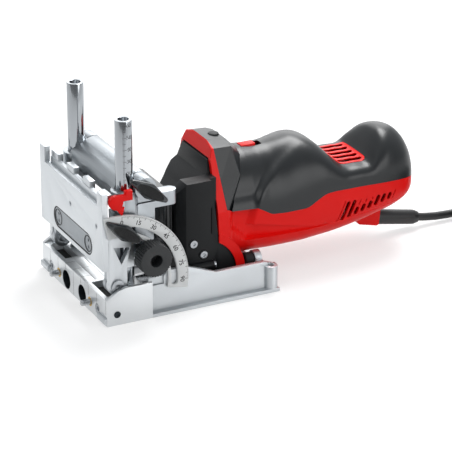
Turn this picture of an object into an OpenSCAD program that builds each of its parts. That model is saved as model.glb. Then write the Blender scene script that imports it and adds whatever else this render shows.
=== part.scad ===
// Twin-spindle dowel joiner: base with guide columns, plunging drive unit, height carriage, tilting fence.
// Millimetres and degrees. X runs from the front working face to the rear, Y across (scale side
// negative) and Z up from the underside of the base. place() moves the origin under the height columns.

/* [Base] */
// Width of the base
base_w = 131; // [130:1:140]
// Length of the base
base_len = 154; // [152:1:170]
// Length of the machined front block
block_len = 40; // [38:0.5:40]
// Height of the front block
block_h = 22.4; // [21.8:0.1:22.6]
// Height of the block's raised side walls
block_wall_h = 31; // [26:0.5:33]
// Thickness of the block's raised side walls
block_wall_t = 3; // [2:0.1:3.4]
// Height of the frame's foot flange
flange_h = 3; // [2:0.5:5]
// Inset of the frame's side wall from the base width, on each side
wall_inset = 6; // [4:0.5:6]
// Thickness of the frame's side wall
frame_wall = 4; // [3:0.1:4.2]
// Height of the frame's side wall at the rear
frame_h = 25.6; // [22:0.2:28]
// Height of the frame's side wall beside the scale
frame_peak_h = 35.6; // [30:0.2:40]
// Thickness of the frame's rear wall
rear_wall = 6; // [5:0.5:8]
// Radius of the corner posts
post_r = 5.5; // [4.5:0.1:5.5]
// Diameter of the vertical holes in the corner posts
post_hole_d = 4.4; // [3:0.1:6]

/* [Drilling] */
// Distance between the two drilling axes
drill_spacing = 32; // [30:0.5:34]
// Height of the drilling axes above the underside
drill_z = 8.5; // [8.5:0.1:9.5]
// Diameter of the drilling bores in the front block
drill_bore_d = 16; // [15:0.5:18]
// Diameter of the spindle nose
spindle_d = 14; // [12:0.5:14]
// Diameter of the drill bit socket
socket_d = 8; // [6:0.5:9]
// Depth of the drill bit socket
socket_depth = 22; // [12:1:30]
// Travel of the plunge
plunge = 40; // [30:1:40]
// Diameter of the guide columns
guide_d = 10; // [8:0.5:10]
// Distance of the guide columns from the sides of the base
guide_inset = 18.7; // [18.3:0.1:19.5]
// Turns of each return spring
spring_turns = 13; // [8:1:15]
// Wire diameter of the return springs
spring_wire = 1.1; // [0.8:0.1:1.2]

/* [Stop pins] */
// Half the distance between the stop pins
pin_y = 31.5; // [30:0.5:33]
// Diameter of the stop pins
pin_d = 5; // [4:0.5:5.5]
// How far the stop pins stand out of the front face
pin_out = 8; // [4:0.5:10]

/* [Height adjustment] */
// Distance of the height columns from the front face
column_x = 25; // [24:0.5:25.5]
// Distance of the height columns from the sides of the base
column_inset = 18.5; // [18:0.1:19]
// Diameter of the height columns
column_d = 14; // [13.6:0.1:14.2]
// Diameter of the blind bore in the top of each column
column_bore_d = 9; // [6:0.5:10]
// Top of the height columns above the underside
column_top = 166; // [162:1:190]
// Travel of the height carriage
height_travel = 50; // [30:1:52]
// Module of the rack and its pinion
rack_module = 0.8; // [0.7:0.05:0.8]
// Teeth of the height pinion
pinion_teeth = 16; // [15:1:17]
// Diameter of the handwheel
handwheel_d = 27; // [22:0.5:27]
// Width of the handwheel
handwheel_w = 13.5; // [10:0.5:18]
// Grooves around the handwheel
handwheel_grooves = 36; // [20:2:40]

/* [Fence] */
// Distance of the fence hinge from the front face
hinge_x = 12; // [11.5:0.1:12.5]
// Height of the fence hinge above the underside
hinge_z = 31; // [31:0.1:33]
// Diameter of the hinge pins
hinge_pin_d = 8; // [6:0.5:8]
// Thickness of the fence plate
fence_t = 4.8; // [4:0.1:5]
// Lower edge of the fence plate above the underside
fence_z0 = 45.5; // [44:0.5:48]
// Upper edge of the fence plate above the underside
fence_z1 = 98; // [96:0.5:102]
// Thickness of the fence cheeks
cheek_t = 5; // [4:0.1:5]
// Outer radius of the angle scale
arc_r = 61; // [60:0.5:63]
// Width of the graduated band of the angle scale
arc_band = 9.4; // [8:0.1:9.6]
// Width of the clamping slot in the angle scale
arc_slot = 5.6; // [5.4:0.1:6]
// Thickness of the angle scale
arc_t = 3; // [2:0.1:3]
// Length of a wing lever from tip to tip
wing_len = 38; // [30:1:38]
// Height of a wing lever
wing_h = 13; // [10:0.5:14]
// Thickness of a wing lever
wing_t = 9; // [7:0.5:10]

/* [Drive unit] */
// Distance of the gear housing's sides from the guide columns' axes
housing_inset = 4.8; // [4.6:0.1:5.8]
// Module of the spindle gears
gear_module = 1; // [0.95:0.05:1]
// Teeth of the motor pinion and of each spindle gear
small_teeth = 12; // [12:1:13]
// Teeth of the idler gear
idler_teeth = 44; // [42:1:44]
// Radius of the stator
stator_r = 31; // [28:0.5:31]
// Wall of the housing shells
shell_wall = 3; // [2:0.1:3.2]
// Ribs across the nose of the gear housing
nose_ribs = 9; // [5:1:11]
// Slots in the top grille
grille_slots = 6; // [4:1:7]
// Vent slots in each side of the lower shell
side_vents = 8; // [4:1:8]
// Travel of the switch slider
switch_travel = 5; // [3:0.5:6]
// Travel of the spindle lock button
button_travel = 3; // [2:0.5:3]

/* [Cord] */
// Diameter of the mains cord
cord_d = 7; // [6:0.1:7.2]
// Inner radius of the coil at the middle of the cord
coil_r = 31.5; // [30:0.5:36]
// Turns of the coil in each of its layers
coil_turns = 3.25; // [2.25:0.5:3.25]
// Layers of the coil
coil_layers = 4; // [2:2:4]
// Thickness of the coil's tie
tie_t = 1.2; // [0.8:0.1:1.4]

/* [Hidden] */
$fn = 48;
cut = 0.5;
touch = 0.02;
slide_gap = 0.03;
run_gap = 0.04;
free_gap = 0.3;

// Base
half_w = base_w / 2;
wall_y1 = half_w - wall_inset;
wall_y0 = wall_y1 - frame_wall;
post_x = base_len - post_r;
post_y = half_w - post_r;
post_h = frame_h - 3.4;
block_ramp_x = 17;
pocket_x = [4, 15];
pocket_y = [26, half_w - 8.5];
guide_r = guide_d / 2;
guide_y = half_w - guide_inset;
guide_z = drill_z;
guide_x0 = 8;
pocket_z = guide_z + guide_r + 2;
pin_r = pin_d / 2;
pin_bush_r = pin_r + 1.5;
pin_bush_l = 6;
pin_back = 18;
pin_hole_end = 30;
buffer_z = 22;
buffer_r = 5.5;
buffer_len = 7.5;
buffer_gap = 0.5;
rear_wall_x = base_len - 12.5;
rear_wall_h = 17;

// Drive unit along X, at rest
rest_gap = 1;
lug_x0 = block_len + plunge + rest_gap + cut;
lug_len = 30;
lug_r = guide_z - 0.6;
bush_len = 12;
spring_bore_r = guide_r + 1.9;
spring_r = guide_r + 0.6 + spring_wire / 2;
low_front_x = block_len + plunge + rest_gap;
front_x = low_front_x - 6;
ground_gap = 0.6;
low_front_z = block_h + 1.6;
gear_x0 = low_front_x + 9;
gear_w = 10;
plate_x = gear_x0 + gear_w + 4;
plate_t = 8.8;
plate_y = 29;
plate_top_z = 74;
band_x = low_front_x + 29;
band_t = 10.4;
arch_z = 15;
arch_t = 7.5;
arch_x = band_x - 16;
arch_h = 32;
arch_r = rear_wall_x - buffer_len - buffer_gap - arch_t - arch_x;
housing_y = guide_y - housing_inset;
block_top_z = 70;
side_top_z = 98;
band_z0 = arch_z - 3 + arch_rise(20);

// Gears
pressure = 25;
addendum = 0.8;
dedendum = 1.05;
backlash = 0.16;
small_r = gear_module * small_teeth / 2;
idler_r = gear_module * idler_teeth / 2;
spindle_y = drill_spacing / 2;
idler_z = drill_z + sqrt(pow(idler_r + small_r, 2) - pow(spindle_y, 2));
motor_z = idler_z + idler_r + small_r;
small_pitch = 360 / small_teeth;
idler_pitch = 360 / idler_teeth;
idler_phase = 90 - idler_pitch / 2;
pinion_r = rack_module * pinion_teeth / 2;
rack_pitch = PI * rack_module;
rack_x = column_x + column_d / 2 - 1;
wheel_x = rack_x + pinion_r;
wheel_z = 55.5;

// Carriage and fence
column_r = column_d / 2;
column_y = half_w - column_inset;
column_z0 = guide_z + guide_r + 0.8;
boss_r = column_r + 4;
boss_z0 = 78;
boss_z1 = 107;
clamp_x = column_x + 13.5;
clamp_z = 109.2;
cap_r = 9;
bar_y = column_y - 4;
arm_y0 = wall_y0 - 6.5;
arm_t = 5;
arm_y1 = arm_y0 + arm_t;
cheek_y0 = arm_y1 + 1;
cheek_y1 = cheek_y0 + cheek_t;
hinge_r = hinge_pin_d / 2;
hinge_lug_r = hinge_z - block_h - 0.6;
slot_r = arc_r - arc_band - arc_slot / 2;
arc_r0 = slot_r - arc_slot / 2 - 3;
bolt_angle = 86;
bolt_x = hinge_x + slot_r * cos(bolt_angle);
bolt_z = hinge_z + slot_r * sin(bolt_angle);
bolt_r = arc_slot / 2 - free_gap;
fence_y1 = half_w - 0.5;
scale_y = cheek_y1 + arc_t;
wing_tilt = 36;
wing_rim = 1.6;
lever_y = scale_y + free_gap;
cap_y1 = column_y + 11.2;
height_lever_y = cap_y1 + free_gap;
clamp_rod_r = 4;
rod_reach = 5;
wheel_y = scale_y + 2.8;
rail_pitch = (half_w - 17.5) / 1.5;
inset_w = 78;
inset_h = 18.4;
inset_z = fence_z0 + 13;
inset_depth = 1.6;
inset_end_y = inset_w / 2 - inset_h / 2;
fence_screw_y = [3.5, 17.5 - half_w];

// Motor
sleeve_r = stator_r + 2;
band_y = sleeve_r + 10.4;
buffer_y = band_y - 3.4;
core_r = 17;
shaft_r = 4;
commutator_r = 10;
front_bearing_r = 11;
rear_bearing_r = 9.5;
stator_x = [plate_x + 36, plate_x + 96];
sleeve_x1 = stator_x[1] + 5;
commutator_x = [stator_x[1] + 11, stator_x[1] + 29];
rear_bearing_x = commutator_x[1] + 17;
rear_bearing_w = 7;
ring_x = rear_bearing_x - 1;
end_bar_y = 25;
brush_h = 5;
brush_x = [commutator_x[0] + 1, commutator_x[1] - 1];

// Body stations: place behind the band, half width beyond the motor's sleeve, seam height, top height,
// bottom height, fullness of the top
stations = [
    [37, 7, 64.8, 106.4, 21, 1], [43, 7, 61.4, 105.8, 21, 1], [50, 7, 57.5, 105.2, 21, 1],
    [56, 7, 56.8, 105.4, 21, 0.98], [62, 7, 56.3, 105.8, 21, 0.97], [74, 6.8, 56.2, 107.6, 21, 0.92],
    [84, 6.4, 56.6, 108.6, 21, 0.9], [93, 5.9, 61, 107, 21.2, 0.86], [101, 5.4, 64.6, 102.8, 21.5, 0.8],
    [109, 4.9, 65.4, 96, 22, 0.72], [116, 4.5, 65.3, 88, 22.8, 0.62], [123, 4, 65, 82.6, 23.8, 0.55],
    [135, 3.4, 64.7, 81.6, 26, 0.5], [147, 3, 64.2, 82.6, 28.8, 0.55], [155, 2.6, 63.8, 93, 31, 0.75],
    [164, 1.8, 63.4, 101, 33, 0.86], [175, -0.4, 62.5, 101.4, 36.4, 0.92], [184, -4, 61.4, 97, 40, 0.95],
    [191, -10, 60, 88, 44.6, 0.95], [195, -18, 59, 77, 49, 0.95], [196.8, -26, 58.6, 66.5, 53, 0.95]];
neck_y = sleeve_r + 4;
neck_in = sleeve_r + stations[0][1] - neck_y;
neck_ramp = 13;
neck_lean = 0.82;
groove_in = 2;
low_fullness = 0.5;
upper_steps = 14;
lower_steps = 12;
slider_x = band_x + 46;
button_x = band_x + 16;
button_r = 4.4;
grille_x = [band_x + 121.6, band_x + 148.4];
grille_y = 19;
band_wall = 3.5;
side_tube_z = 24.5;
side_tube_x1 = lug_x0 + 23;
side_tube_y = housing_y + 0.5;
screw_r = 3.2;
housing_screw_places = [[front_x + 21, 35], [front_x + 12, 46]];

// Cord: boot, lead and coil
boot_x = band_x + 169;
boot_z = 17;
boot_len = 43;
boot_r = 6.6;
boot_tilt = 11;
cord_r = cord_d / 2;
cord_z = cord_r + tie_t + free_gap;
boot_end = [boot_x + boot_len * cos(boot_tilt), 0, boot_z - boot_len * sin(boot_tilt)];
lead_points = [[340, 0, 5.9], [352, 0, 5.3], [366, 0, 5.05], [380, 0, 5], [400, 0, 5]];
coil_x = 420;
coil_pitch = cord_d + 0.7;
coil_out_r = coil_r + coil_pitch * coil_turns;
layer_h = cord_d + 0.6;
turn_rings = 24;
tail_angle = 195;
tail_out = 11;
plug_z = 8.6;
plug_len = 42;
plug_w = 34;
plug_h = 16;
plug_pin_r = 2.3;
plug_pin_len = 19;
plug_pin_gap = 19;

// Placing helpers
module place() {
    translate([-column_x, 0, 0]) children();
}

module both_sides() {
    children();
    mirror([0, 1, 0]) children();
}

module along_x(x0, x1, y, z, r) {
    translate([x0, y, z]) rotate([0, 90, 0]) cylinder(r = r, h = x1 - x0);
}

module along_y(y0, y1, x, z, r) {
    translate([x, y0, z]) rotate([-90, 0, 0]) cylinder(r = r, h = y1 - y0);
}

module across(y0, y1) {
    translate([0, y1, 0]) rotate([90, 0, 0]) linear_extrude(y1 - y0) children();
}

module lengthwise(x0, x1) {
    translate([x0, 0, 0]) rotate([90, 0, 90]) linear_extrude(x1 - x0) children();
}

module box(x, y, z) {
    translate([x[0], y[0], z[0]]) cube([x[1] - x[0], y[1] - y[0], z[1] - z[0]]);
}

// Involute gears
function involute_angle(a) = tan(a) * 180 / PI - a;
function tooth_half(r, rp, half) =
    half + involute_angle(pressure) - involute_angle(acos(min(1, rp * cos(pressure) / r)));
function gear_outline(m, teeth, phase) =
    let (rp = m * teeth / 2,
         r0 = rp - dedendum * m,
         r1 = rp + addendum * m,
         half = 90 / teeth - backlash / 2 * 90 / PI / rp)
    [for (k = [0:teeth - 1]) for (side = [-1, 1]) for (i = [0:3])
        let (r = side < 0 ? r0 + (r1 - r0) * i / 3 : r1 - (r1 - r0) * i / 3,
             a = phase + 360 * k / teeth + side * tooth_half(r, rp, half))
        r * [cos(a), sin(a)]];
function mate_phase(toward, phase, pitch, mate_pitch) =
    toward + 180 - mate_pitch * (0.5 - (toward - phase) / pitch);

// Swept tubes
function unit(v) = v / norm(v);
function path_dir(p, i) = unit(p[min(i + 1, len(p) - 1)] - p[max(i - 1, 0)]);
function ring(p, i, r, sides) =
    let (d = path_dir(p, i),
         side = unit(cross(d, abs(d[2]) > 0.9 ? [1, 0, 0] : [0, 0, 1])),
         up = cross(side, d))
    [for (k = [0:sides - 1]) let (a = 360 * (k + 0.5) / sides) p[i] + r * (cos(a) * side + sin(a) * up)];
function skin_faces(rings, n) = concat(
    [for (i = [0:rings - 2]) for (k = [0:n - 1])
        let (a = i * n + k, b = i * n + (k + 1) % n) each [[a, b, b + n], [a, b + n, a + n]]],
    [for (k = [1:n - 2]) [0, k + 1, k]],
    [for (k = [1:n - 2]) let (e = (rings - 1) * n) [e, e + k, e + k + 1]]);

module tube(path, r, sides) {
    polyhedron([for (i = [0:len(path) - 1]) each ring(path, i, r, sides)], skin_faces(len(path), sides));
}

// Least clear distance between turns of a wound tube, measured on the points of its path
function least_gap(p, d, half_turn) =
    min([for (i = [0:len(p) - 1]) for (j = [i + half_turn:1:len(p) - 1]) norm(p[i] - p[j])]) - d;

// Shells: each section is an open outline on the seam with an inner copy one wall inside
function top_point(a, e) = [-sign(cos(a)) * pow(abs(cos(a)), e), pow(sin(a), e)];
function shell_outline(steps, e) = [for (i = [0:steps]) top_point(180 * i / steps, e)];
function shell_ring(x, w, seam, h, t, outline) =
    let (n = len(outline), wi = (w - t) / w, hi = 1 - t / abs(h))
    concat([for (p = outline) [x, w * p[0], seam + h * p[1]]],
        [for (i = [n - 1:-1:0]) [x, w * wi * outline[i][0], seam + h * hi * outline[i][1]]]);
function shell_faces(rings, n) = concat(
    [for (i = [0:rings - 2]) for (k = [0:2 * n - 1])
        let (a = i * 2 * n + k, b = i * 2 * n + (k + 1) % (2 * n))
        each [[a, b, b + 2 * n], [a, b + 2 * n, a + 2 * n]]],
    [for (k = [0:n - 2]) let (m = 2 * n - 1) each [[k, m - k, m - k - 1], [k, m - k - 1, k + 1]]],
    [for (k = [0:n - 2]) let (s = (rings - 1) * 2 * n, m = s + 2 * n - 1)
        each [[s + k, s + k + 1, m - k - 1], [s + k, m - k - 1, m - k]]]);
function flipped(faces) = [for (f = faces) [f[0], f[2], f[1]]];

module shell(rings, n, up) {
    faces = shell_faces(len(rings), n);
    polyhedron([for (r = rings) each r], up ? faces : flipped(faces));
}

// Base
module block_profile() {
    polygon([[0, 0], [block_len, 0], [block_len, block_wall_h], [block_ramp_x, block_wall_h],
        [block_ramp_x * 0.6, block_wall_h - 1.8], [block_ramp_x * 0.3, block_h + 3.4], [0, block_h]]);
}

module front_block() {
    color("silver") difference() {
        union() {
            box([0, block_len], [-half_w, half_w], [0, block_h]);
            both_sides() across(-half_w, -half_w + block_wall_t) block_profile();
        }
        both_sides() {
            along_x(-cut, block_len + cut, -spindle_y, drill_z, drill_bore_d / 2);
            box(pocket_x, [-pocket_y[1], -pocket_y[0]], [pocket_z, block_h + cut]);
            along_x(guide_x0, block_len + cut, -guide_y, guide_z, guide_r + touch);
            along_x(-cut, guide_x0 + cut, -guide_y, guide_z, 2.6);
            along_x(-cut, 3, -guide_y, guide_z, 4.6);
            along_x(-cut, pin_hole_end, -pin_y, drill_z, pin_r + run_gap);
            along_x(-cut, pin_bush_l, -pin_y, drill_z, pin_bush_r + touch);
            translate([column_x, -column_y, column_z0]) cylinder(r = column_r + touch, h = block_h);
            for (y = [2.4, 5.2])
                box([-cut, 0.4], [-spindle_y - y, -spindle_y - y + 0.4], [drill_z, block_h + cut]);
        }
        for (x = [9, 18, 27])
            box([x, x + 0.4], [-pocket_y[0] + 4, pocket_y[0] - 4], [block_h - 0.4, block_h + cut]);
    }
}

module frame_profile() {
    polygon([[block_len, 0], [base_len - 2, 0], [base_len - 2, frame_h - 3], [post_x - post_r, frame_h],
        [99, frame_h], [73, frame_peak_h], [56, frame_peak_h], [52, block_wall_h],
        [block_len, block_wall_h]]);
}

module base_frame() {
    color("lightgray") difference() {
        union() {
            both_sides() {
                across(-wall_y1, -wall_y0) frame_profile();
                box([block_len, base_len], [-half_w, -wall_y0], [0, flange_h]);
                translate([post_x, -post_y, 0]) cylinder(r = post_r, h = post_h);
                box([post_x - post_r, base_len], [-post_y, -wall_y0], [0, post_h]);
                along_x(rear_wall_x, rear_wall_x + rear_wall, -buffer_y, buffer_z, buffer_r + 1);
                box([rear_wall_x, rear_wall_x + rear_wall], [-wall_y0 - cut, -buffer_y + 4], [0, buffer_z]);
            }
            box([rear_wall_x, rear_wall_x + rear_wall], [-wall_y0 - cut, wall_y0 + cut], [0, rear_wall_h]);
        }
        both_sides() {
            along_x(rear_wall_x - cut, base_len, -guide_y, guide_z, guide_r + touch);
            along_x(rear_wall_x - cut, base_len, -buffer_y, buffer_z, 2.2);
            translate([post_x, -post_y, -cut]) cylinder(d = post_hole_d, h = frame_h + 2 * cut);
            box([block_len - cut, block_len + 12.5], [-wall_y1 - cut, -wall_y1 + 2], [25, frame_peak_h]);
        }
    }
}

module guide_columns() {
    color("gainsboro") both_sides()
        along_x(guide_x0 + touch, rear_wall_x + rear_wall - 0.5, -guide_y, guide_z, guide_r);
}

function spring_path(x0, x1, y, z) =
    let (rings = 8 * spring_turns, step = (x1 - x0) / rings)
    [for (i = [0:rings]) [x0 + step * i, y + spring_r * cos(45 * i), z + spring_r * sin(45 * i)]];

module return_springs() {
    x0 = block_len + spring_wire / 2 + 0.1;
    x1 = lug_x0 + lug_len - bush_len - spring_wire / 2 - 0.1;
    path = spring_path(x0, x1, -guide_y, guide_z);
    echo(spring_gap = least_gap(path, spring_wire, 5));
    color("dimgray") both_sides() tube(path, spring_wire / 2, 6);
}

module height_column(near) {
    color("whitesmoke") difference() {
        translate([column_x, near * column_y, column_z0 + touch])
            cylinder(r = column_r, h = column_top - column_z0 - touch);
        translate([column_x, near * column_y, column_top - 24]) cylinder(d = column_bore_d, h = 25);
        if (near < 0) across(-column_y - column_r, -column_y + column_r) rack_gaps();
    }
}

// Tooth spaces of the rack on the rear of the near column, as one toothed outline
module rack_gaps() {
    first = -3;
    last = ceil(height_travel / rack_pitch) + 3;
    tip = addendum * rack_module;
    root = dedendum * rack_module;
    half = rack_pitch / 4 + backlash / 4;
    polygon(concat([[rack_x + column_r, wheel_z + (first - 1) * rack_pitch]],
        [[rack_x + tip, wheel_z + (first - 1) * rack_pitch]],
        [for (k = [first:last]) each [
            [rack_x + tip, wheel_z + k * rack_pitch - half - tip * tan(pressure)],
            [rack_x - root, wheel_z + k * rack_pitch - half + root * tan(pressure)],
            [rack_x - root, wheel_z + k * rack_pitch + half - root * tan(pressure)],
            [rack_x + tip, wheel_z + k * rack_pitch + half + tip * tan(pressure)]]],
        [[rack_x + tip, wheel_z + (last + 1) * rack_pitch]],
        [[rack_x + column_r, wheel_z + (last + 1) * rack_pitch]]));
}

module height_column_near() {
    height_column(-1);
}

module height_column_far() {
    height_column(1);
}

module stop_pin_bushes() {
    color("goldenrod") both_sides() difference() {
        along_x(touch, pin_bush_l, -pin_y, drill_z, pin_bush_r);
        along_x(-cut, pin_bush_l + cut, -pin_y, drill_z, pin_r + run_gap);
    }
}

module stop_pin_spring(side) {
    color("dimgray") difference() {
        along_x(pin_back + 0.1, pin_hole_end - touch, side * pin_y, drill_z, pin_r - 0.1);
        along_x(pin_back, pin_hole_end + cut, side * pin_y, drill_z, pin_r - 0.9);
    }
}

module stop_pin_spring_near() {
    stop_pin_spring(-1);
}

module stop_pin_spring_far() {
    stop_pin_spring(1);
}

module stop_pin(side) {
    color("dimgray") union() {
        along_x(1 - pin_out, pin_back, side * pin_y, drill_z, pin_r);
        translate([-pin_out, side * pin_y, drill_z]) rotate([0, 90, 0])
            cylinder(r1 = pin_r - 0.8, r2 = pin_r, h = 1);
    }
}

module stop_pin_near() {
    stop_pin(-1);
}

module stop_pin_far() {
    stop_pin(1);
}

module block_screws() {
    color("silver") both_sides() difference() {
        union() {
            along_x(0.4, 3 - touch, -guide_y, guide_z, 4.4);
            along_x(0.4, guide_x0, -guide_y, guide_z, 2.5);
        }
        along_x(-cut, 1.8, -guide_y, guide_z, 2.2, $fn = 6);
    }
}

module rear_buffers() {
    color("black") both_sides() union() {
        along_x(rear_wall_x - buffer_len, rear_wall_x - touch, -buffer_y, buffer_z, buffer_r);
        along_x(rear_wall_x - touch, rear_wall_x + 4, -buffer_y, buffer_z, 2.2 - touch);
    }
}

// Height carriage
module crossbar_profile() {
    hull() {
        translate([column_x + 3.5, 103.5]) circle(r = 11.5, $fn = 40);
        translate([clamp_x, clamp_z]) circle(r = cap_r, $fn = 40);
    }
}

module arm_profile() {
    translate([hinge_x, hinge_z]) circle(r = hinge_lug_r);
    translate([fence_t + 0.8, hinge_z]) square([column_x - column_r - 1.2 - fence_t, boss_z0 + 7 - hinge_z]);
    translate([fence_t + 0.8, boss_z0]) square([column_x - fence_t, 7]);
}

module clamp_arm_profile() {
    translate([column_x, -column_y - 1.6]) {
        translate([0, -5.4]) square([38, 10.8]);
        translate([38, 0]) circle(r = 5.4);
    }
}

module wheel_bracket_profile() {
    translate([wheel_x, wheel_z]) circle(r = 8);
    translate([wheel_x - 8, wheel_z]) square([16, boss_z0 + 4 - wheel_z]);
}

module carriage() {
    color("lightgray") difference() {
        union() {
            both_sides() {
                translate([column_x, -column_y, boss_z0]) cylinder(r = boss_r, h = boss_z1 - boss_z0);
                across(-arm_y1, -arm_y0) arm_profile();
                box([column_x - 12, column_x + 23], [-arm_y1, -bar_y], [boss_z0, 91]);
            }
            across(-bar_y, bar_y) crossbar_profile();
            translate([0, 0, 89.5]) linear_extrude(12) clamp_arm_profile();
            along_y(-cheek_y1 + 0.2, -arm_y0, bolt_x, bolt_z, slot_r - 42.6);
            across(-arm_y1 - 3, -arm_y0 - 2) wheel_bracket_profile();
            box([13, 20], [-cheek_y1 + 1, -arm_y0], [94, 102]);
        }
        both_sides() {
            translate([column_x, -column_y, boss_z0 - cut]) cylinder(r = column_r + slide_gap, h = 60);
            translate([column_x, -column_y, 0]) cylinder(r = column_r + free_gap, h = boss_z0);
            along_y(-cheek_y1, -arm_y0 + cut, hinge_x, hinge_z, hinge_r + touch);
        }
        along_y(-bar_y - cut, bar_y + cut, clamp_x, clamp_z, clamp_rod_r + run_gap);
        along_y(-cheek_y1 - cut, -arm_y0 + cut, bolt_x, bolt_z, bolt_r + touch);
        along_y(-arm_y1 - 4, -arm_y0, wheel_x, wheel_z, shaft_r + run_gap);
        box([column_x + 6, column_x + 34], [-arm_y1 - 6, -bar_y + cut], [95, 96.4]);
        both_sides() along_y(-height_lever_y, -bar_y, clamp_x, clamp_z, cap_r + touch);
        box([wheel_x - 8, wheel_x + 8], [-column_y - 4.4, -column_y + 4.4], [wheel_z - 9, wheel_z + 9]);
    }
}

module crossbar_caps() {
    color("silver") both_sides() difference() {
        union() {
            along_y(-cap_y1, -bar_y - 1.6, clamp_x, clamp_z, cap_r);
            along_y(-bar_y - 1.6, -bar_y - touch, clamp_x, clamp_z, cap_r - 1.4);
        }
        along_y(-cap_y1 - cut, -bar_y + cut, clamp_x, clamp_z, clamp_rod_r + run_gap);
        translate([column_x, -column_y, 0]) cylinder(r = column_r + 0.6, h = column_top);
    }
}

module clamp_rod() {
    color("gray") along_y(-height_lever_y - rod_reach, cap_y1 - 1, clamp_x, clamp_z, clamp_rod_r);
}

module pointer() {
    y0 = -cheek_y1 - arc_t;
    tip_z = hinge_z + arc_r + 0.6;
    color("red") difference() {
        union() {
            along_y(y0, -cheek_y1 + 1 - touch, 11.2, 103.4, 5.8);
            across(y0, -cheek_y1 + 1 - touch)
                polygon([[9, 104], [25, 104], [25, 112], [19, 112], [19, 108.6], [9, 109]]);
            across(y0, y0 + 3)
                polygon([[10, 99], [hinge_x + 6, 99], [bolt_x + 0.9, tip_z], [bolt_x - 0.3, tip_z]]);
        }
        box([13 - free_gap, 20 + free_gap], [-cheek_y1, -arm_y0], [94, 102 + touch]);
    }
}

module hinge_pins() {
    color("silver") both_sides() difference() {
        union() {
            along_y(-cheek_y1 - 0.1, -arm_y0 + 1, hinge_x, hinge_z, hinge_r);
            along_y(-cheek_y1 - 1.5, -cheek_y1 - 0.1, hinge_x, hinge_z, hinge_r + 1.5);
        }
        along_y(-cheek_y1 - 2, -cheek_y1 + 0.6, hinge_x, hinge_z, 2, $fn = 6);
    }
}

module angle_bolt() {
    color("gray") along_y(-lever_y - rod_reach, -arm_y0, bolt_x, bolt_z, bolt_r);
}

// Fence, turning on the hinge pins
module fence_plate() {
    color("gainsboro") difference() {
        union() {
            box([0, fence_t], [-cheek_y1, fence_y1], [fence_z0, fence_z1]);
            for (y = [-cheek_y1, fence_y1 - 10])
                box([0, fence_t], [y, y + 10], [fence_z1 - 1, fence_z1 + 13]);
        }
        lengthwise(-cut, inset_depth) inset_outline(inset_h / 2);
        for (y = fence_screw_y) along_x(-cut, fence_t + cut, y, fence_z0 + 35, 2.2);
    }
}

module fence_rail() {
    color("silver") union() {
        box([fence_t, fence_t + 4], [-cheek_y1 + 11, fence_y1 - 11], [fence_z1 - 8, fence_z1 + 5]);
        for (k = [-1.5:1:1.5])
            translate([0, k * rail_pitch, 0])
                box([fence_t + 1, fence_t + 6], [-7, 7], [fence_z1 + 2, fence_z1 + 10]);
    }
}

module cheek_profile() {
    difference() {
        union() {
            translate([hinge_x, hinge_z]) circle(r = hinge_lug_r);
            intersection() {
                translate([fence_t, fence_z0]) square([22, fence_z1 - fence_z0]);
                translate([hinge_x, hinge_z]) circle(r = slot_r - arc_slot / 2 - 3.6);
            }
            translate([fence_t, hinge_z]) square([16, fence_z0 - hinge_z + 2]);
        }
        translate([fence_t, fence_z0]) polygon([[4.6, 19], [18.6, 17], [11, 4]]);
        translate([hinge_x, hinge_z]) circle(r = hinge_r + run_gap);
    }
}

module fence_cheek_near() {
    color("gainsboro") across(-cheek_y1, -cheek_y0) cheek_profile();
}

module fence_cheek_far() {
    color("gainsboro") across(cheek_y0, cheek_y1) cheek_profile();
}

module arc_profile() {
    difference() {
        circle(r = arc_r, $fn = 96);
        circle(r = arc_r0, $fn = 96);
        intersection() {
            difference() {
                circle(r = slot_r + arc_slot / 2, $fn = 96);
                circle(r = slot_r - arc_slot / 2, $fn = 96);
            }
            polygon([[0, 0], 90 * [cos(-5), sin(-5)], 90 * [1, 1], 90 * [cos(89), sin(89)]]);
        }
        for (a = [-5, 89]) rotate(a) translate([slot_r, 0]) circle(r = arc_slot / 2);
        polygon([[0, 0], 90 * [cos(-11), sin(-11)], [90, -90], [-90, -90], [-90, 90],
            90 * [cos(101), sin(101)]]);
    }
}

module arc_scale() {
    color("white") across(-scale_y, -cheek_y1) translate([hinge_x, hinge_z]) arc_profile();
}

module inset_outline(r) {
    hull() for (y = [-inset_end_y, inset_end_y]) translate([y, inset_z]) circle(r = r);
}

module inset_plate() {
    color("silver") difference() {
        lengthwise(0.4, inset_depth - touch) inset_outline(inset_h / 2 - 0.2);
        for (y = [-inset_end_y, inset_end_y]) along_x(0, 0.8, y, inset_z, inset_h / 2 - 2.6);
        for (y = [-inset_end_y, inset_end_y]) for (z = [-3, 3])
            along_x(0, inset_depth, y, inset_z + z, 1.3, $fn = 16);
    }
}

module fence_screws() {
    color("gray") for (y = fence_screw_y) difference() {
        along_x(0.3, fence_t, y, fence_z0 + 35, 2.2 - touch);
        along_x(0, 1.4, y, fence_z0 + 35, 1.2, $fn = 6);
    }
}

// Levers and handwheel
module wing_profile() {
    hull() {
        circle(r = wing_h / 2, $fn = 32);
        for (side = [-1, 1]) translate([side * (wing_len / 2 - 2), 0]) circle(r = 2, $fn = 16);
    }
}

module wing_lever(x, z, y, rod_r) {
    difference() {
        union() {
            across(-y - wing_t, -y - 2) translate([x, z]) rotate(-wing_tilt) wing_profile();
            along_y(-y - 2, -y, x, z, wing_h / 2 - 1);
        }
        across(-y - wing_t - cut, -y - wing_t + 0.8)
            translate([x, z]) rotate(-wing_tilt) offset(delta = -wing_rim) wing_profile();
        along_y(-y - rod_reach - 0.2, -y + cut, x, z, rod_r + run_gap);
    }
}

module height_lever() {
    color("dimgray") wing_lever(clamp_x, clamp_z, height_lever_y, clamp_rod_r);
}

module angle_lever() {
    color("dimgray") wing_lever(bolt_x, bolt_z, lever_y, bolt_r);
}

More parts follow.
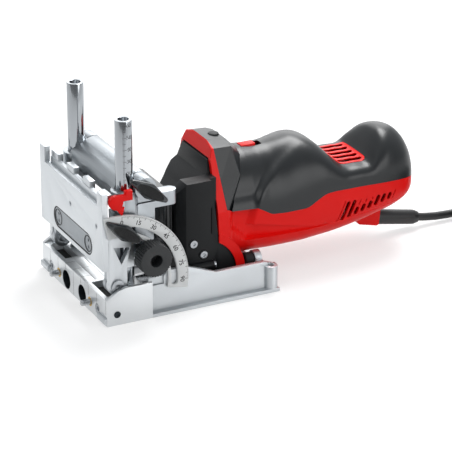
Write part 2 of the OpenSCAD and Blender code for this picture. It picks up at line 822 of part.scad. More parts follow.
module handwheel_profile() {
    difference() {
        circle(d = handwheel_d, $fn = 96);
        for (k = [0:handwheel_grooves - 1])
            rotate(360 * k / handwheel_grooves)
                translate([handwheel_d / 2 + 0.3, 0]) circle(r = 0.9, $fn = 6);
        circle(r = shaft_r + touch);
    }
}

module handwheel() {
    color("dimgray") difference() {
        union() {
            across(-wheel_y - handwheel_w, -wheel_y) translate([wheel_x, wheel_z]) handwheel_profile();
            along_y(-wheel_y, -arm_y1 - 3.3, wheel_x, wheel_z, shaft_r + 1.6);
        }
        along_y(-wheel_y - cut, 0, wheel_x, wheel_z, shaft_r + touch);
        along_y(-wheel_y - handwheel_w - cut, -wheel_y - 3, wheel_x, wheel_z, shaft_r + 1.2);
    }
}

module height_pinion() {
    color("silver") union() {
        along_y(-wheel_y - 2.8, -column_y + 3.8, wheel_x, wheel_z, shaft_r);
        across(-column_y - 4, -column_y + 4) translate([wheel_x, wheel_z])
            polygon(gear_outline(rack_module, pinion_teeth, 180));
    }
}

// Drive unit
function arch_rise(x) = (arch_h + arch_t) * sqrt(1 - pow(x / (arch_r + arch_t), 2));

module arch(grow) {
    translate([arch_x, arch_z]) scale([(arch_r + grow) / (arch_h + grow), 1])
        circle(r = arch_h + grow, $fn = 96);
}

module housing_block() {
    polygon([[low_front_x, ground_gap], [band_x, ground_gap], [band_x, block_top_z], [front_x, block_top_z],
        [front_x, low_front_z + 8], [low_front_x, low_front_z]]);
    intersection() {
        arch(-touch);
        translate([band_x - 1, ground_gap]) square([60, 60]);
    }
}

module housing_rise() {
    polygon([[front_x, block_top_z - 1], [front_x + 9, 74], [front_x + 18, 82.5], [front_x + 25, 93],
        [front_x + 29.5, 104], [band_x - 3, 111], [band_x + 3.6, 118], [band_x + 3.6, 100], [band_x, 96],
        [band_x, block_top_z - 1]]);
}

module housing_plate() {
    polygon([[front_x, block_top_z - 1], [band_x, block_top_z - 1], [band_x, side_top_z],
        [front_x + 7, side_top_z], [front_x, side_top_z - 8]]);
}

module gear_chamber() {
    translate([0, idler_z]) circle(r = idler_r + 1.6);
    translate([0, motor_z]) circle(r = small_r + 1.6);
    for (y = [-spindle_y, spindle_y]) translate([y, drill_z]) circle(r = small_r + 1.3);
}

module gear_housing() {
    color("black") difference() {
        union() {
            across(-housing_y, housing_y) housing_block();
            intersection() {
                across(-housing_y + 4, housing_y) housing_rise();
                lengthwise(front_x, band_x + band_t) polygon(band_outline(band_wall + touch));
            }
            across(-housing_y, -28) housing_plate();
            both_sides() {
                along_x(lug_x0, lug_x0 + lug_len, -guide_y, guide_z, lug_r);
                along_x(lug_x0 - 1, side_tube_x1, -side_tube_y, side_tube_z, 4);
            }
        }
        lengthwise(gear_x0 - 1, plate_x + cut) gear_chamber();
        box([plate_x, 160], [-plate_y, plate_y], [-cut, plate_top_z]);
        both_sides() {
            linear_extrude(side_top_z + cut) polygon([[0, -housing_y - cut], [front_x + 6, -housing_y - cut],
                [front_x + 6, -housing_y], [front_x, -housing_y + 5], [0, -housing_y + 5]]);
            along_x(low_front_x - cut, gear_x0, -spindle_y, drill_z, 3.4);
            along_x(low_front_x + 2, gear_x0, -spindle_y, drill_z, 6.5 + touch);
            along_x(low_front_x - cut, lug_x0 + lug_len - bush_len, -guide_y, guide_z, spring_bore_r);
            along_x(lug_x0, lug_x0 + lug_len + cut, -guide_y, guide_z, guide_r + 1.5 + touch);
            along_x(lug_x0 + lug_len, rear_wall_x, -guide_y, guide_z, guide_r + 1);
            along_x(side_tube_x1, side_tube_x1 + 3, -side_tube_y, side_tube_z, screw_r + free_gap);
        }
        translate([0, 0, 52]) linear_extrude(80) polygon([[0, 20], [front_x + 12, 20], [front_x + 28.5, 31],
            [front_x + 33, 37], [front_x + 33, 60], [0, 60]]);
        along_x(gear_x0 - 5, gear_x0, 0, idler_z, 4 + touch);
    }
}

module bearing_plate() {
    color("lightgray") difference() {
        box([plate_x + touch, plate_x + plate_t], [-plate_y + touch, plate_y - touch],
            [ground_gap, plate_top_z - touch]);
        for (y = [-spindle_y, spindle_y]) along_x(plate_x - cut, plate_x + 6, y, drill_z, 6.5 + touch);
        along_x(plate_x - cut, plate_x + plate_t + cut, 0, motor_z, front_bearing_r + touch);
        along_x(plate_x - cut, plate_x + 5, 0, idler_z, 4 + touch);
    }
}

module nose_profile() {
    intersection() {
        translate([front_x + 2, 0]) circle(r = 30);
        translate([front_x - 24, -30]) square([24, 60]);
    }
}

module spindle_nose() {
    z0 = 46;
    z1 = 88;
    gap = 60 / (2 * nose_ribs);
    color("black") difference() {
        translate([0, 0, z0]) linear_extrude(z1 - z0) nose_profile();
        translate([0, 0, z0 + 4]) linear_extrude(z1 - z0 - 4 + cut) difference() {
            for (k = [0:nose_ribs - 1])
                translate([front_x - 40, -30 + (2 * k + 0.5) * gap]) square([60, gap]);
            translate([front_x + 2, 0]) circle(r = 26.5);
        }
    }
}

module guide_bushes() {
    color("peru") both_sides() difference() {
        along_x(lug_x0 + lug_len - bush_len, lug_x0 + lug_len, -guide_y, guide_z, guide_r + 1.5);
        along_x(lug_x0, lug_x0 + lug_len + cut, -guide_y, guide_z, guide_r + run_gap);
    }
}

// Band and tower: the seams before and behind the tower lean, so their places depend on the height
seam_lean = 0.083;
function seam_x(z) = band_x + 8.4 - seam_lean * (z - 68);
tower_lean = 0.468;
function tower_x(z) = band_x + 14.8 + tower_lean * (z - 69);
function band_half(g) =
    [[band_y - g, band_z0], [band_y - 2 - g, 68], [24 - g * 0.9, 117.4 - g * 0.6],
        [11.5 - g * 0.4, 121.2 - g]];
function band_outline(g) =
    concat([for (p = band_half(g)) [-p[0], p[1]]], [for (i = [3:-1:0]) band_half(g)[i]]);

module front_band() {
    inside = band_y - band_wall;
    inside_z0 = 18;
    color("red") difference() {
        union() {
            difference() {
                lengthwise(band_x + touch, band_x + band_t) polygon(band_outline(0));
                across(-60, 60)
                    polygon([[seam_x(0), 0], [seam_x(130), 130], [band_x + 40, 130], [band_x + 40, 0]]);
            }
            across(-band_y, band_y) intersection() {
                difference() {
                    arch(arch_t);
                    arch(0);
                }
                translate([band_x + touch, ground_gap]) square([60, 60]);
            }
        }
        lengthwise(0, band_x + 40)
            polygon(concat([[-inside, inside_z0]], band_outline(band_wall), [[inside, inside_z0]]));
        across(-60, 60)
            polygon([[0, 109], [band_x, 109], [band_x + 4.4, 122], [band_x + 4.4, 140], [0, 140]]);
        both_sides() along_x(band_x, rear_wall_x, -guide_y, guide_z, guide_r + 1);
        box([0, plate_x + plate_t + free_gap], [-plate_y, plate_y], [0, plate_top_z]);
    }
}

// Tower rings from the band to the neck: place, half width and height of four points up each side
tower_halves = [
    [[seam_x(69), band_y - 2.2, 69], [seam_x(92), 33, 92], [seam_x(117), 24, 117.2],
        [seam_x(121), 11.5, 121]],
    [[seam_x(69) + 1.5, band_y - 2.3, 68.8], [band_x + 23.7, 33.6, 94.3], [band_x + 20.3, 23.4, 116.4],
        [band_x + 21, 11.5, 119]],
    [[tower_x(66.2), neck_y, 66.2], [tower_x(90), 31.5, 90], [tower_x(105), 17, 105],
        [tower_x(107.6), 8, 107.6]]];
ring_leans = [seam_lean, 0, -tower_lean];
function tower_ring(s, lean, t) =
    let (outer = concat([for (p = s) [p[0], -p[1], p[2]]],
            [for (i = [len(s) - 1:-1:0]) s[i]]),
         z0 = s[0][2],
         rise = s[len(s) - 1][2] - z0,
         n = len(outer))
    concat(outer, [for (i = [n - 1:-1:0])
        let (p = outer[i], z = z0 + (p[2] - z0) * (1 - t / rise))
        [p[0] + lean * (p[2] - z), p[1] * (1 - t / s[0][1]), z]]);

module tower_cover() {
    rings = [for (i = [0:2]) tower_ring(tower_halves[i], ring_leans[i], shell_wall)];
    color("dimgray") difference() {
        translate([touch, 0, 0]) shell(rings, 2 * len(tower_halves[0]), true);
        translate([button_x, 0, 100]) cylinder(r = button_r + free_gap, h = 30);
    }
}

// The shells draw in behind the tower, up to a crease that leans back
function neck(x, z) =
    neck_in * max(0, min(1, (band_x + 49.8 + neck_lean * (z - 65.4) - x) / neck_ramp));
function necked(points, w) = [for (p = points) [p[0], p[1] * (1 - neck(p[0], p[2]) / w), p[2]]];

function body_ring(x, s, seam) =
    let (w = sleeve_r + s[1], h = s[3] - seam, outline = shell_outline(upper_steps, s[5]))
    necked(shell_ring(x, w, seam, h, min(shell_wall, h * 0.6), outline), w);

module upper_shell() {
    front = body_ring(band_x, stations[0], tower_halves[2][0][2]);
    rings = concat([[for (p = front) [tower_x(p[2]) + 2 * touch, p[1], p[2]]]],
        [for (s = stations) body_ring(band_x + s[0], s, s[2])]);
    color("dimgray") difference() {
        shell(rings, upper_steps + 1, true);
        box([slider_x - 7, slider_x + 7 + switch_travel], [-4.4, 4.4], [95, 116]);
        box(grille_x, [-grille_y, grille_y], [70, 100]);
    }
}

// On the lower shell only the points on the seam draw in
function seam_in(outline, share) = [for (p = outline) p[1] < 0.01 ? [p[0] * share, 0] : p];

module lower_shell() {
    outline = shell_outline(lower_steps, low_fullness);
    low = stations[0][4];
    front = [for (i = [0:2]) let (p = tower_halves[i][0])
        [p[0], i < 2 ? p[1] : p[1] + neck_in, p[2], low, p[1]]];
    rear = [for (s = stations) let (x = band_x + s[0], w = sleeve_r + s[1])
        [x, w, s[2], s[4], w - neck(x, s[2])]];
    rings = [for (s = concat(front, rear))
        let (h = s[2] - s[3])
        shell_ring(s[0], s[1], s[2] - touch, -h, min(shell_wall, h * 0.6), seam_in(outline, s[4] / s[1]))];
    groove_y = sleeve_r + stations[0][1] - groove_in;
    color("red") difference() {
        union() {
            shell(rings, lower_steps + 1, false);
            across(-9, 9) polygon([[boot_x - 26, 34], [boot_x - 20, 17], [boot_x - 2, 12.5], [boot_x, 22],
                [boot_x + 2, 38]]);
        }
        across(-60, 60) arch(arch_t + touch);
        across(-60, 60)
            polygon([[0, 0], [seam_x(0) + touch, 0], [seam_x(80) + touch, 80], [0, 80]]);
        translate([boot_x, 0, boot_z]) rotate([0, 90 + boot_tilt, 0]) {
            translate([0, 0, -9 - touch]) cylinder(r = boot_r - 1.5 + touch, h = 30);
            translate([0, 0, -touch]) cylinder(r = boot_r + 2, h = 30);
        }
        both_sides() {
            for (k = [0:side_vents - 1]) side_vent(k);
            across(-50, -groove_y) polygon([[band_x + 22, 39.6], [band_x + 86, 38], [band_x + 104, 36.6],
                [band_x + 104, 34], [band_x + 86, 32.2], [band_x + 22, 33]]);
        }
    }
}

module side_vent(k) {
    x = band_x + 118 + 6.8 * k;
    low = 37.5 + 1.7 * k;
    high = k < 2 ? low + 15 : k < 5 ? low + 8 : low + 12;
    lean = (high - low) * 0.35;
    across(-45, -25) polygon([[x, low], [x + 3, low], [x + 3 + lean, high], [x + lean, high]]);
}

module top_grille() {
    pitch = (2 * grille_y - 4) / grille_slots;
    color("red") difference() {
        box([grille_x[0] + touch, grille_x[1] - touch], [-grille_y + touch, grille_y - touch], [77.6, 80.8]);
        for (k = [0:grille_slots - 1])
            translate([0, pitch * k - grille_y + 2, 0])
                box(grille_x + [2.5, -2.5], pitch * [0.25, 0.8], [70, 90]);
    }
}

module motor_frame() {
    color("black") difference() {
        union() {
            along_x(plate_x + plate_t + touch, sleeve_x1, 0, motor_z, sleeve_r);
            both_sides()
                box([sleeve_x1 - 1, ring_x + 1], [-end_bar_y, -core_r - 2], [motor_z - 8, motor_z + 8]);
            box([ring_x, ring_x + rear_bearing_w + 2], [-end_bar_y, end_bar_y], [motor_z - 8, motor_z + 8]);
            along_x(ring_x, ring_x + rear_bearing_w + 2, 0, motor_z, rear_bearing_r + 4);
        }
        along_x(plate_x, sleeve_x1 - 4, 0, motor_z, stator_r + touch);
        along_x(plate_x, sleeve_x1 + cut, 0, motor_z, core_r + 2);
        along_x(ring_x - cut, ring_x + rear_bearing_w + 1, 0, motor_z, rear_bearing_r + touch);
        along_x(ring_x, ring_x + 20, 0, motor_z, 6);
        both_sides() box(brush_x, [-40, -commutator_r], [motor_z - brush_h, motor_z + brush_h]);
    }
}

module stator() {
    color("brown") difference() {
        along_x(stator_x[0], stator_x[1], 0, motor_z, stator_r);
        along_x(stator_x[0] - cut, stator_x[1] + cut, 0, motor_z, core_r + 0.8);
        for (a = [0, 180]) translate([0, 0, motor_z]) rotate([a, 0, 0])
            box(stator_x + [-cut, cut], [-8, 8], [stator_r - 7, stator_r - 3]);
    }
}

module bearing(x, w, y, z, r0, r1) {
    difference() {
        along_x(x, x + w, y, z, r1);
        along_x(x - cut, x + w + cut, y, z, r0);
        for (side = [-cut, w - 1]) difference() {
            along_x(x + side, x + side + 1 + cut, y, z, r1 - 1.2);
            along_x(x + side - cut, x + side + 2, y, z, r0 + 1.2);
        }
    }
}

module motor_bearings() {
    color("silver") {
        bearing(plate_x + 0.8, 8, 0, motor_z, 5 + touch, front_bearing_r);
        bearing(rear_bearing_x - 0.4, rear_bearing_w, 0, motor_z, shaft_r + touch, rear_bearing_r);
    }
}

module spindle_bearings() {
    color("silver") both_sides() {
        bearing(low_front_x + 2.1, 5, -spindle_y, drill_z, 3 + touch, 6.5);
        bearing(plate_x + 0.6, 5, -spindle_y, drill_z, 3 + touch, 6.5);
    }
}

module brush_holders() {
    color("goldenrod") both_sides() union() {
        box(brush_x + [touch, -touch], [-end_bar_y - 3, -commutator_r - 5],
            [motor_z - brush_h + touch, motor_z + brush_h - touch]);
        box(brush_x + [3, -3], [-commutator_r - 5.5, -commutator_r - 0.3], [motor_z - 3, motor_z + 3]);
    }
}

module housing_screws() {
    color("silver") both_sides() {
        for (p = housing_screw_places) difference() {
            along_y(-housing_y - 2, -housing_y - touch, p[0], p[1], screw_r);
            along_y(-housing_y - 3, -housing_y - 0.8, p[0], p[1], 1.6, $fn = 6);
        }
        difference() {
            along_x(side_tube_x1 + touch, side_tube_x1 + 2, -side_tube_y, side_tube_z, screw_r);
            along_x(side_tube_x1 + 1.2, side_tube_x1 + 3, -side_tube_y, side_tube_z, 1.6, $fn = 6);
        }
    }
}

module switch_slider() {
    color("red") union() {
        box([slider_x - 6.7, slider_x + 6.7], [-4, 4], [99.5, 106.8]);
        box([slider_x - 9, slider_x + 9], [-6, 6], [97.8, 100.2]);
    }
}

module lock_button() {
    color("black") union() {
        translate([button_x, 0, 111]) cylinder(r = button_r, h = 9.8);
        translate([button_x, 0, 110.6]) cylinder(r = button_r + 2, h = 2.4);
    }
}

// Turning parts of the drive
module armature() {
    color("peru") union() {
        along_x(gear_x0 - 1, plate_x, 0, motor_z, shaft_r - touch);
        along_x(plate_x, plate_x + 12, 0, motor_z, 5);
        along_x(plate_x + 12, rear_bearing_x + 6, 0, motor_z, shaft_r);
        lengthwise(stator_x[0] + 2, stator_x[1] - 2) translate([0, motor_z]) difference() {
            circle(r = core_r);
            for (k = [0:11]) rotate(30 * k) translate([core_r, 0]) square([5, 2.4], center = true);
        }
        along_x(stator_x[0] - 4, stator_x[1] + 4, 0, motor_z, core_r - 4);
        along_x(commutator_x[0], commutator_x[1], 0, motor_z, commutator_r);
    }
}

module motor_fan() {
    x = plate_x + plate_t + 6;
    color("gray") difference() {
        union() {
            along_x(x, x + 2, 0, motor_z, stator_r - 3);
            along_x(x, x + 12, 0, motor_z, 9);
            for (k = [0:11]) translate([0, 0, motor_z]) rotate([30 * k, 0, 0])
                box([x, x + 9], [-0.8, 0.8], [8, stator_r - 3.4]);
        }
        along_x(x - cut, x + 13, 0, motor_z, shaft_r + touch);
    }
}

module motor_pinion() {
    color("silver") lengthwise(gear_x0, gear_x0 + gear_w) translate([0, motor_z]) difference() {
        polygon(gear_outline(gear_module, small_teeth, 270));
        circle(r = shaft_r);
    }
}

module idler_gear() {
    color("silver") lengthwise(gear_x0 + 0.5, gear_x0 + gear_w - 0.5) translate([0, idler_z]) difference() {
        polygon(gear_outline(gear_module, idler_teeth, idler_phase));
        circle(r = 4 + run_gap);
        for (k = [0:5]) rotate(60 * k) translate([idler_r * 0.56, 0]) circle(r = 4.5);
    }
}

module idler_shaft() {
    color("gray") along_x(gear_x0 - 4.8, plate_x + 4.8, 0, idler_z, 4);
}

module spindle(side) {
    toward = atan2(drill_z - idler_z, side * spindle_y);
    phase = mate_phase(toward, idler_phase, idler_pitch, small_pitch);
    x0 = block_len + rest_gap;
    color("gainsboro") difference() {
        union() {
            along_x(x0, low_front_x - 0.4, side * spindle_y, drill_z, spindle_d / 2);
            along_x(low_front_x - 1, plate_x + 5.6, side * spindle_y, drill_z, 3);
            lengthwise(gear_x0, gear_x0 + gear_w) translate([side * spindle_y, drill_z])
                polygon(gear_outline(gear_module, small_teeth, phase));
        }
        along_x(x0 - cut, x0 + socket_depth, side * spindle_y, drill_z, socket_d / 2);
    }
}

module spindle_near() {
    spindle(-1);
}

module spindle_far() {
    spindle(1);
}

// Cord
module cord_boot() {
    color("black") translate([boot_x, 0, boot_z]) rotate([0, 90 + boot_tilt, 0]) difference() {
        union() {
            cylinder(r = boot_r, h = boot_len - 4);
            translate([0, 0, boot_len - 4]) cylinder(r1 = boot_r, r2 = boot_r - 1.6, h = 4);
            translate([0, 0, -9]) cylinder(r = boot_r - 1.5, h = 9.5);
        }
        translate([0, 0, boot_len - 8 - touch]) cylinder(r = cord_r + touch, h = 13);
    }
}

function ease(t) = let (u = max(0, min(1, t))) u * u * (3 - 2 * u);
half_period = 360 * coil_turns;
coil_end = half_period * coil_layers;
coil_centre = [coil_x, -coil_out_r];
function coil_wave(a) = let (p = a % (2 * half_period)) p < half_period ? half_period - p : p - half_period;
function total(v) = v * [for (x = v) 1];
function coil_level(a) = total([for (k = [1:1:coil_layers - 1]) ease((a - k * half_period + 90) / 180)]);
function coil_point(a) =
    let (tail = max(0, a - coil_end),
         r = coil_r + coil_pitch * (tail > 0 ? coil_turns : coil_wave(a) / 360) + tail_out * ease(tail / 100),
         level = cord_z + layer_h * coil_level(min(a, coil_end)),
         z = level + (plug_z - level) * ease((tail - 70) / (tail_angle - 70)))
    [coil_centre[0] + r * sin(a), coil_centre[1] + r * cos(a), z];
last_angle = coil_end + tail_angle;
coil_steps = ceil(last_angle * turn_rings / 360);
coil_start = [coil_x - cord_d, 0, cord_z];
coil_path = concat([coil_start],
    [for (i = [0:coil_steps]) coil_point(min(i * 360 / turn_rings, last_angle))]);
coil_last = coil_path[len(coil_path) - 1];
tail_dir = let (d = coil_last - coil_path[len(coil_path) - 2]) unit([d[0], d[1], 0]);
plug_start = coil_last + tail_dir * (cord_d + 1);
cord_coil_path = concat(coil_path, [plug_start]);
boot_dir = [cos(boot_tilt), 0, -sin(boot_tilt)];
cord_lead_path = concat([boot_end - 8 * boot_dir, boot_end + cord_d * boot_dir], lead_points, [coil_path[0]]);
function path_len(p) = total([for (i = [1:len(p) - 1]) norm(p[i] - p[i - 1])]);

module cord_lead() {
    color("black") tube(cord_lead_path, cord_r, 8);
}

module cord_coil() {
    echo(cord_length = path_len(cord_lead_path) + path_len(cord_coil_path));
    echo(cord_gap = least_gap(cord_coil_path, cord_d, turn_rings / 2));
    color("black") tube(cord_coil_path, cord_r, 6);
}

module cord_tie() {
    inner = coil_r - coil_pitch / 4 - cord_r - free_gap;
    outer = coil_out_r + coil_pitch / 4 + cord_r + free_gap;
    top = cord_z + layer_h * (coil_layers - 1) + cord_r + free_gap;
    color("dimgray") translate([coil_centre[0], coil_centre[1], 0]) rotate(150) difference() {
        box([inner - tie_t, outer + tie_t], [-6, 6], [0, top + tie_t]);
        box([inner, outer], [-7, 7], [tie_t, top]);
    }
}

module plug() {
    turn = atan2(tail_dir[1], tail_dir[0]);
    color("black") translate([plug_start[0], plug_start[1], plug_z]) rotate(turn) union() {
        translate([0, 0, -plug_h / 2]) linear_extrude(plug_h)
            polygon([[0, -6], [10, -8], [20, -plug_w / 2 + 2], [plug_len, -plug_w / 2],
                [plug_len, plug_w / 2], [20, plug_w / 2 - 2], [10, 8], [0, 6]]);
        for (y = [-plug_pin_gap / 2, plug_pin_gap / 2])
            along_x(plug_len - 1, plug_len + plug_pin_len, y, 0, plug_pin_r);
    }
}

place() front_block();
place() base_frame();
place() guide_columns();
place() return_springs();
place() height_column_near();
place() height_column_far();
place() stop_pin_bushes();
place() stop_pin_spring_near();
place() stop_pin_spring_far();
place() block_screws();
place() rear_buffers();
place() stop_pin_near();
place() stop_pin_far();
place() carriage();
place() crossbar_caps();
place() clamp_rod();
place() pointer();
place() hinge_pins();
place() angle_bolt();
place() fence_plate();
place() fence_rail();
place() fence_cheek_near();
place() fence_cheek_far();
place() arc_scale();
place() inset_plate();
place() fence_screws();
place() height_lever();
place() angle_lever();
place() handwheel();
place() height_pinion();
place() gear_housing();
place() bearing_plate();
place() spindle_nose();
place() guide_bushes();
place() front_band();
place() tower_cover();
place() upper_shell();
place() lower_shell();
place() top_grille();
place() motor_frame();
place() stator();
place() motor_bearings();
place() spindle_bearings();
place() brush_holders();
place() housing_screws();
place() cord_boot();
place() cord_lead();
place() cord_coil();
place() cord_tie();
place() plug();
place() armature();
place() motor_fan();
place() motor_pinion();
place() idler_gear();
place() idler_shaft();
place() spindle_near();
place() spindle_far();
place() switch_slider();
place() lock_button();
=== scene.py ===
"""Looks of a twin-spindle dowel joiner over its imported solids, in millimetres from the front face."""

from math import asin, atan2, ceil, copysign, cos, degrees, dist, inf, pi, radians, sin

import bmesh
import bpy
from mathutils import Matrix, Vector


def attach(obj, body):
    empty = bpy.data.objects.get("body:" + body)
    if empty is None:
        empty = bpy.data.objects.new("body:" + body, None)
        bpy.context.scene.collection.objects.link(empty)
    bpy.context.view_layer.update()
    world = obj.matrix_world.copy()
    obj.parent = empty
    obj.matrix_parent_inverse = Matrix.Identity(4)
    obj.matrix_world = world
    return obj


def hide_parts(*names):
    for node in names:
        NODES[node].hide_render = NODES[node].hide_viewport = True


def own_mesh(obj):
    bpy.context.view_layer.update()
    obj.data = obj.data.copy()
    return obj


bl_info = {
    "name": "Dowel joiner looks",
    "version": (1, 0, 0),
    "blender": (4, 5, 0),
    "location": "View3D > Sidebar > Joiner",
    "description": "Dresses the solids of a dowel joiner with finishes, housings, scales and cord",
    "category": "Object",
}

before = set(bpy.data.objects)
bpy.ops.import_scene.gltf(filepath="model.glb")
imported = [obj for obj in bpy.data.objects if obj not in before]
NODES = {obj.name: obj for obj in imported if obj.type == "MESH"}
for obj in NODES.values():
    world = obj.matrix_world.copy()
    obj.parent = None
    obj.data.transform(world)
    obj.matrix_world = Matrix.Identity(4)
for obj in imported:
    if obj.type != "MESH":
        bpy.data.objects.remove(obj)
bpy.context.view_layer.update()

# How far the frame's origin lies behind the front face
ORIGIN_X = 25.0
# Places of the solids: drill bores, stop pins, guide columns, block, fence inset, near height column
AXIS_Z = 8.5
BORE_Y = 16
PIN_Y = 31.5
GUIDE_Y = 46.8
BLOCK_HALF = 65.5
BLOCK_TOP = 22.4
INSET_Y, INSET_Z = 29.8, 58.5
COLUMN_X, COLUMN_Y, COLUMN_R = 25, -47, 7.0


def metres(point):
    """A point in millimetres from the front face, as a point of the frame in metres."""
    x, y, z = point
    return Vector(((x - ORIGIN_X) / 1000, y / 1000, z / 1000))


def linear(code):
    """An sRGB hex colour as linear RGB."""
    parts = [int(code[i : i + 2], 16) / 255 for i in (1, 3, 5)]
    return [c / 12.92 if c <= 0.04045 else ((c + 0.055) / 1.055) ** 2.4 for c in parts]


def clamp(t):
    """A share kept between none and all."""
    return max(0.0, min(1.0, t))


def smooth(t):
    """A share that starts and ends gently."""
    t = clamp(t)
    return t * t * (3 - 2 * t)


def new_object(name, data):
    """Puts an object into the scene."""
    obj = bpy.data.objects.new(name, data)
    bpy.context.scene.collection.objects.link(obj)
    return obj


# Finishes


def add(tree, kind, inputs=None, **settings):
    """Adds a node; an input takes a plain value, a socket or a node, which stands for its first output."""
    node = tree.nodes.new(kind)
    for name, value in settings.items():
        setattr(node, name, value)
    for name, value in (inputs or {}).items():
        if isinstance(value, bpy.types.Node):
            value = value.outputs[0]
        if isinstance(value, bpy.types.NodeSocket):
            tree.links.new(value, node.inputs[name])
        else:
            node.inputs[name].default_value = value
    return node


def cleared(owner):
    """The emptied node tree of a material or world."""
    owner.use_nodes = True
    owner.node_tree.nodes.clear()
    return owner.node_tree


FINISHES = {}
DRIFT_MM = 45


def finish(key, name, colour, roughness, grain, metallic=0.0, stretch=(1, 1, 1), tint=0.06, spread=0.08,
           specular=0.5):
    """A procedural finish: a grain, given by its size and depth, and a slow drift of the colour by a tint."""
    size, depth = grain
    material = bpy.data.materials.new(name)
    tree = cleared(material)
    place = add(tree, "ShaderNodeTexCoord").outputs["Object"]
    turned = add(tree, "ShaderNodeMapping", {"Vector": place, "Scale": stretch})
    fine = {"Vector": turned, "Scale": 1000 / size, "Detail": 3.0, "Roughness": 0.6}
    noise = add(tree, "ShaderNodeTexNoise", fine)
    drift = add(tree, "ShaderNodeTexNoise", {"Vector": place, "Scale": 1000 / DRIFT_MM, "Detail": 2.0})
    shade = add(tree, "ShaderNodeValToRGB", {"Fac": drift})
    for stop, at, gain in zip(shade.color_ramp.elements, (0.3, 0.7), (1 - tint, 1 + tint)):
        stop.position = at
        stop.color = [*(min(1, c * gain) for c in linear(colour)), 1]
    limits = {"To Min": max(0.03, roughness - spread), "To Max": min(1, roughness + spread)}
    rough = add(tree, "ShaderNodeMapRange", {"Value": noise, **limits})
    bump = add(tree, "ShaderNodeBump", {"Height": noise, "Strength": 0.6, "Distance": depth / 1000})
    look = {"Base Color": shade, "Metallic": metallic, "Specular IOR Level": specular}
    surface = add(tree, "ShaderNodeBsdfPrincipled", {**look, "Roughness": rough, "Normal": bump})
    add(tree, "ShaderNodeOutputMaterial", {"Surface": surface})
    FINISHES[key] = material


def metal(key, name, colour, roughness, grain, **more):
    """A finish of bare metal."""
    finish(key, name, colour, roughness, grain, metallic=1.0, **more)


def make_finishes(colours):
    """Makes each finish once, named for its material and how its surface was made."""
    # Injection-moulded ABS: even colour with a fine spark-eroded skin that softens its highlights
    finish("red", "red_abs_moulded", colours.housing, 0.38, (0.7, 0.02), tint=0.03, specular=0.2)
    # Overmoulded thermoplastic rubber: satin, with a fine leather-like skin
    finish("grip", "grey_grip_overmoulded", colours.grip, 0.33, (0.6, 0.03), tint=0.05, specular=0.46)
    # Glass-filled nylon: near black and dull, slightly mottled by its fibres
    finish("nylon", "black_nylon_moulded", colours.gearbox, 0.45, (0.9, 0.04), tint=0.12, specular=0.22)
    # Knob nylon: near black with a coarser eroded skin
    finish("knob", "dark_nylon_knob", colours.knob, 0.5, (0.8, 0.06))
    # Polished nylon of the levers and the ribbed nose: dark with a sheen along its edges
    finish("lever", "dark_nylon_polished", "#2A2E31", 0.2, (0.9, 0.01), spread=0.05)
    # Milled aluminium: fine cutter marks along the part, drawn at 0.5 mm so that they show
    metal("milled", "aluminium_milled", colours.aluminium, 0.42, (0.5, 0.012), stretch=(0.04, 1, 1),
          tint=0.03, spread=0.07)
    # Face-milled aluminium of the front block, its marks across the face; its colour is brighter than the
    # fence's, a painted highlight
    metal("faced", "aluminium_face_milled", "#D6D9DB", 0.4, (0.5, 0.012), stretch=(1, 0.04, 1),
          tint=0.03, spread=0.06)
    # Blasted aluminium of the carriage, with soft broad highlights; its colour is a shade darker than the
    # fence's, painted shade for the dark surroundings it reflects
    metal("carriage_painted_shade", "aluminium_anodised", "#A9AEB2", 0.36, (0.6, 0.02), tint=0.03)
    # Blasted aluminium casting: soft and even, with a sand-like grain
    metal("cast", "aluminium_cast_blasted", colours.casting, 0.46, (0.8, 0.04), tint=0.04)
    # Hard chrome on ground steel: almost a mirror
    metal("chrome", "chrome_polished", "#A6AAAE", 0.09, (1.2, 0.002), stretch=(1, 1, 0.05),
          tint=0.01, spread=0.03)
    # Ground steel: bright with fine rings
    metal("steel", "steel_ground", "#B4B7BA", 0.28, (0.4, 0.008), stretch=(1, 0.1, 0.1),
          tint=0.05, spread=0.06)
    # Zinc-plated screws: bright, slightly clouded
    metal("screw", "steel_zinc_plated", "#A7ABAF", 0.3, (0.5, 0.01), tint=0.08)
    # Blackened steel: a thin oxide over ground metal; its dark colour also paints the shade inside the drill
    # bores
    metal("black_steel", "steel_blackened", "#33383C", 0.4, (0.5, 0.01), stretch=(0.1, 1, 1), tint=0.1)
    # Hatched aluminium: fine upright lines that dull the fence inset
    metal("hatched", "aluminium_hatched", "#9DA2A6", 0.5, (0.7, 0.06), stretch=(1, 1, 0.08),
          tint=0.05, spread=0.1)
    # Spring steel wire, oil tempered
    metal("spring", "spring_steel_wire", "#7C7F82", 0.35, (0.5, 0.01), tint=0.1)
    # Enamel on the angle scale
    finish("enamel", "white_enamel", "#E6E8E8", 0.36, (1.4, 0.008), tint=0.015)
    # Screen-printed ink
    finish("ink", "black_ink_printed", "#17181A", 0.55, (0.5, 0.004), tint=0.1)
    # Turned brass
    metal("brass", "brass_turned", "#B99545", 0.28, (0.4, 0.008), stretch=(1, 0.1, 0.1), spread=0.06)
    # Enamelled copper winding on its core plates
    metal("winding", "copper_winding", "#A5603A", 0.4, (0.5, 0.05), stretch=(0.1, 1, 1), tint=0.12)
    # Neoprene sheath of the mains cord, boot and plug
    finish("sheath", "neoprene_sheath", colours.cord, 0.42, (0.9, 0.03), tint=0.1)
    # Cellular rubber of the buffers, pads and strap; its near-black colour also paints the shadow gap round
    # the fence inset and the shade of the levers' dishes
    finish("rubber", "rubber_moulded", "#161718", 0.7, (0.8, 0.05), tint=0.12)


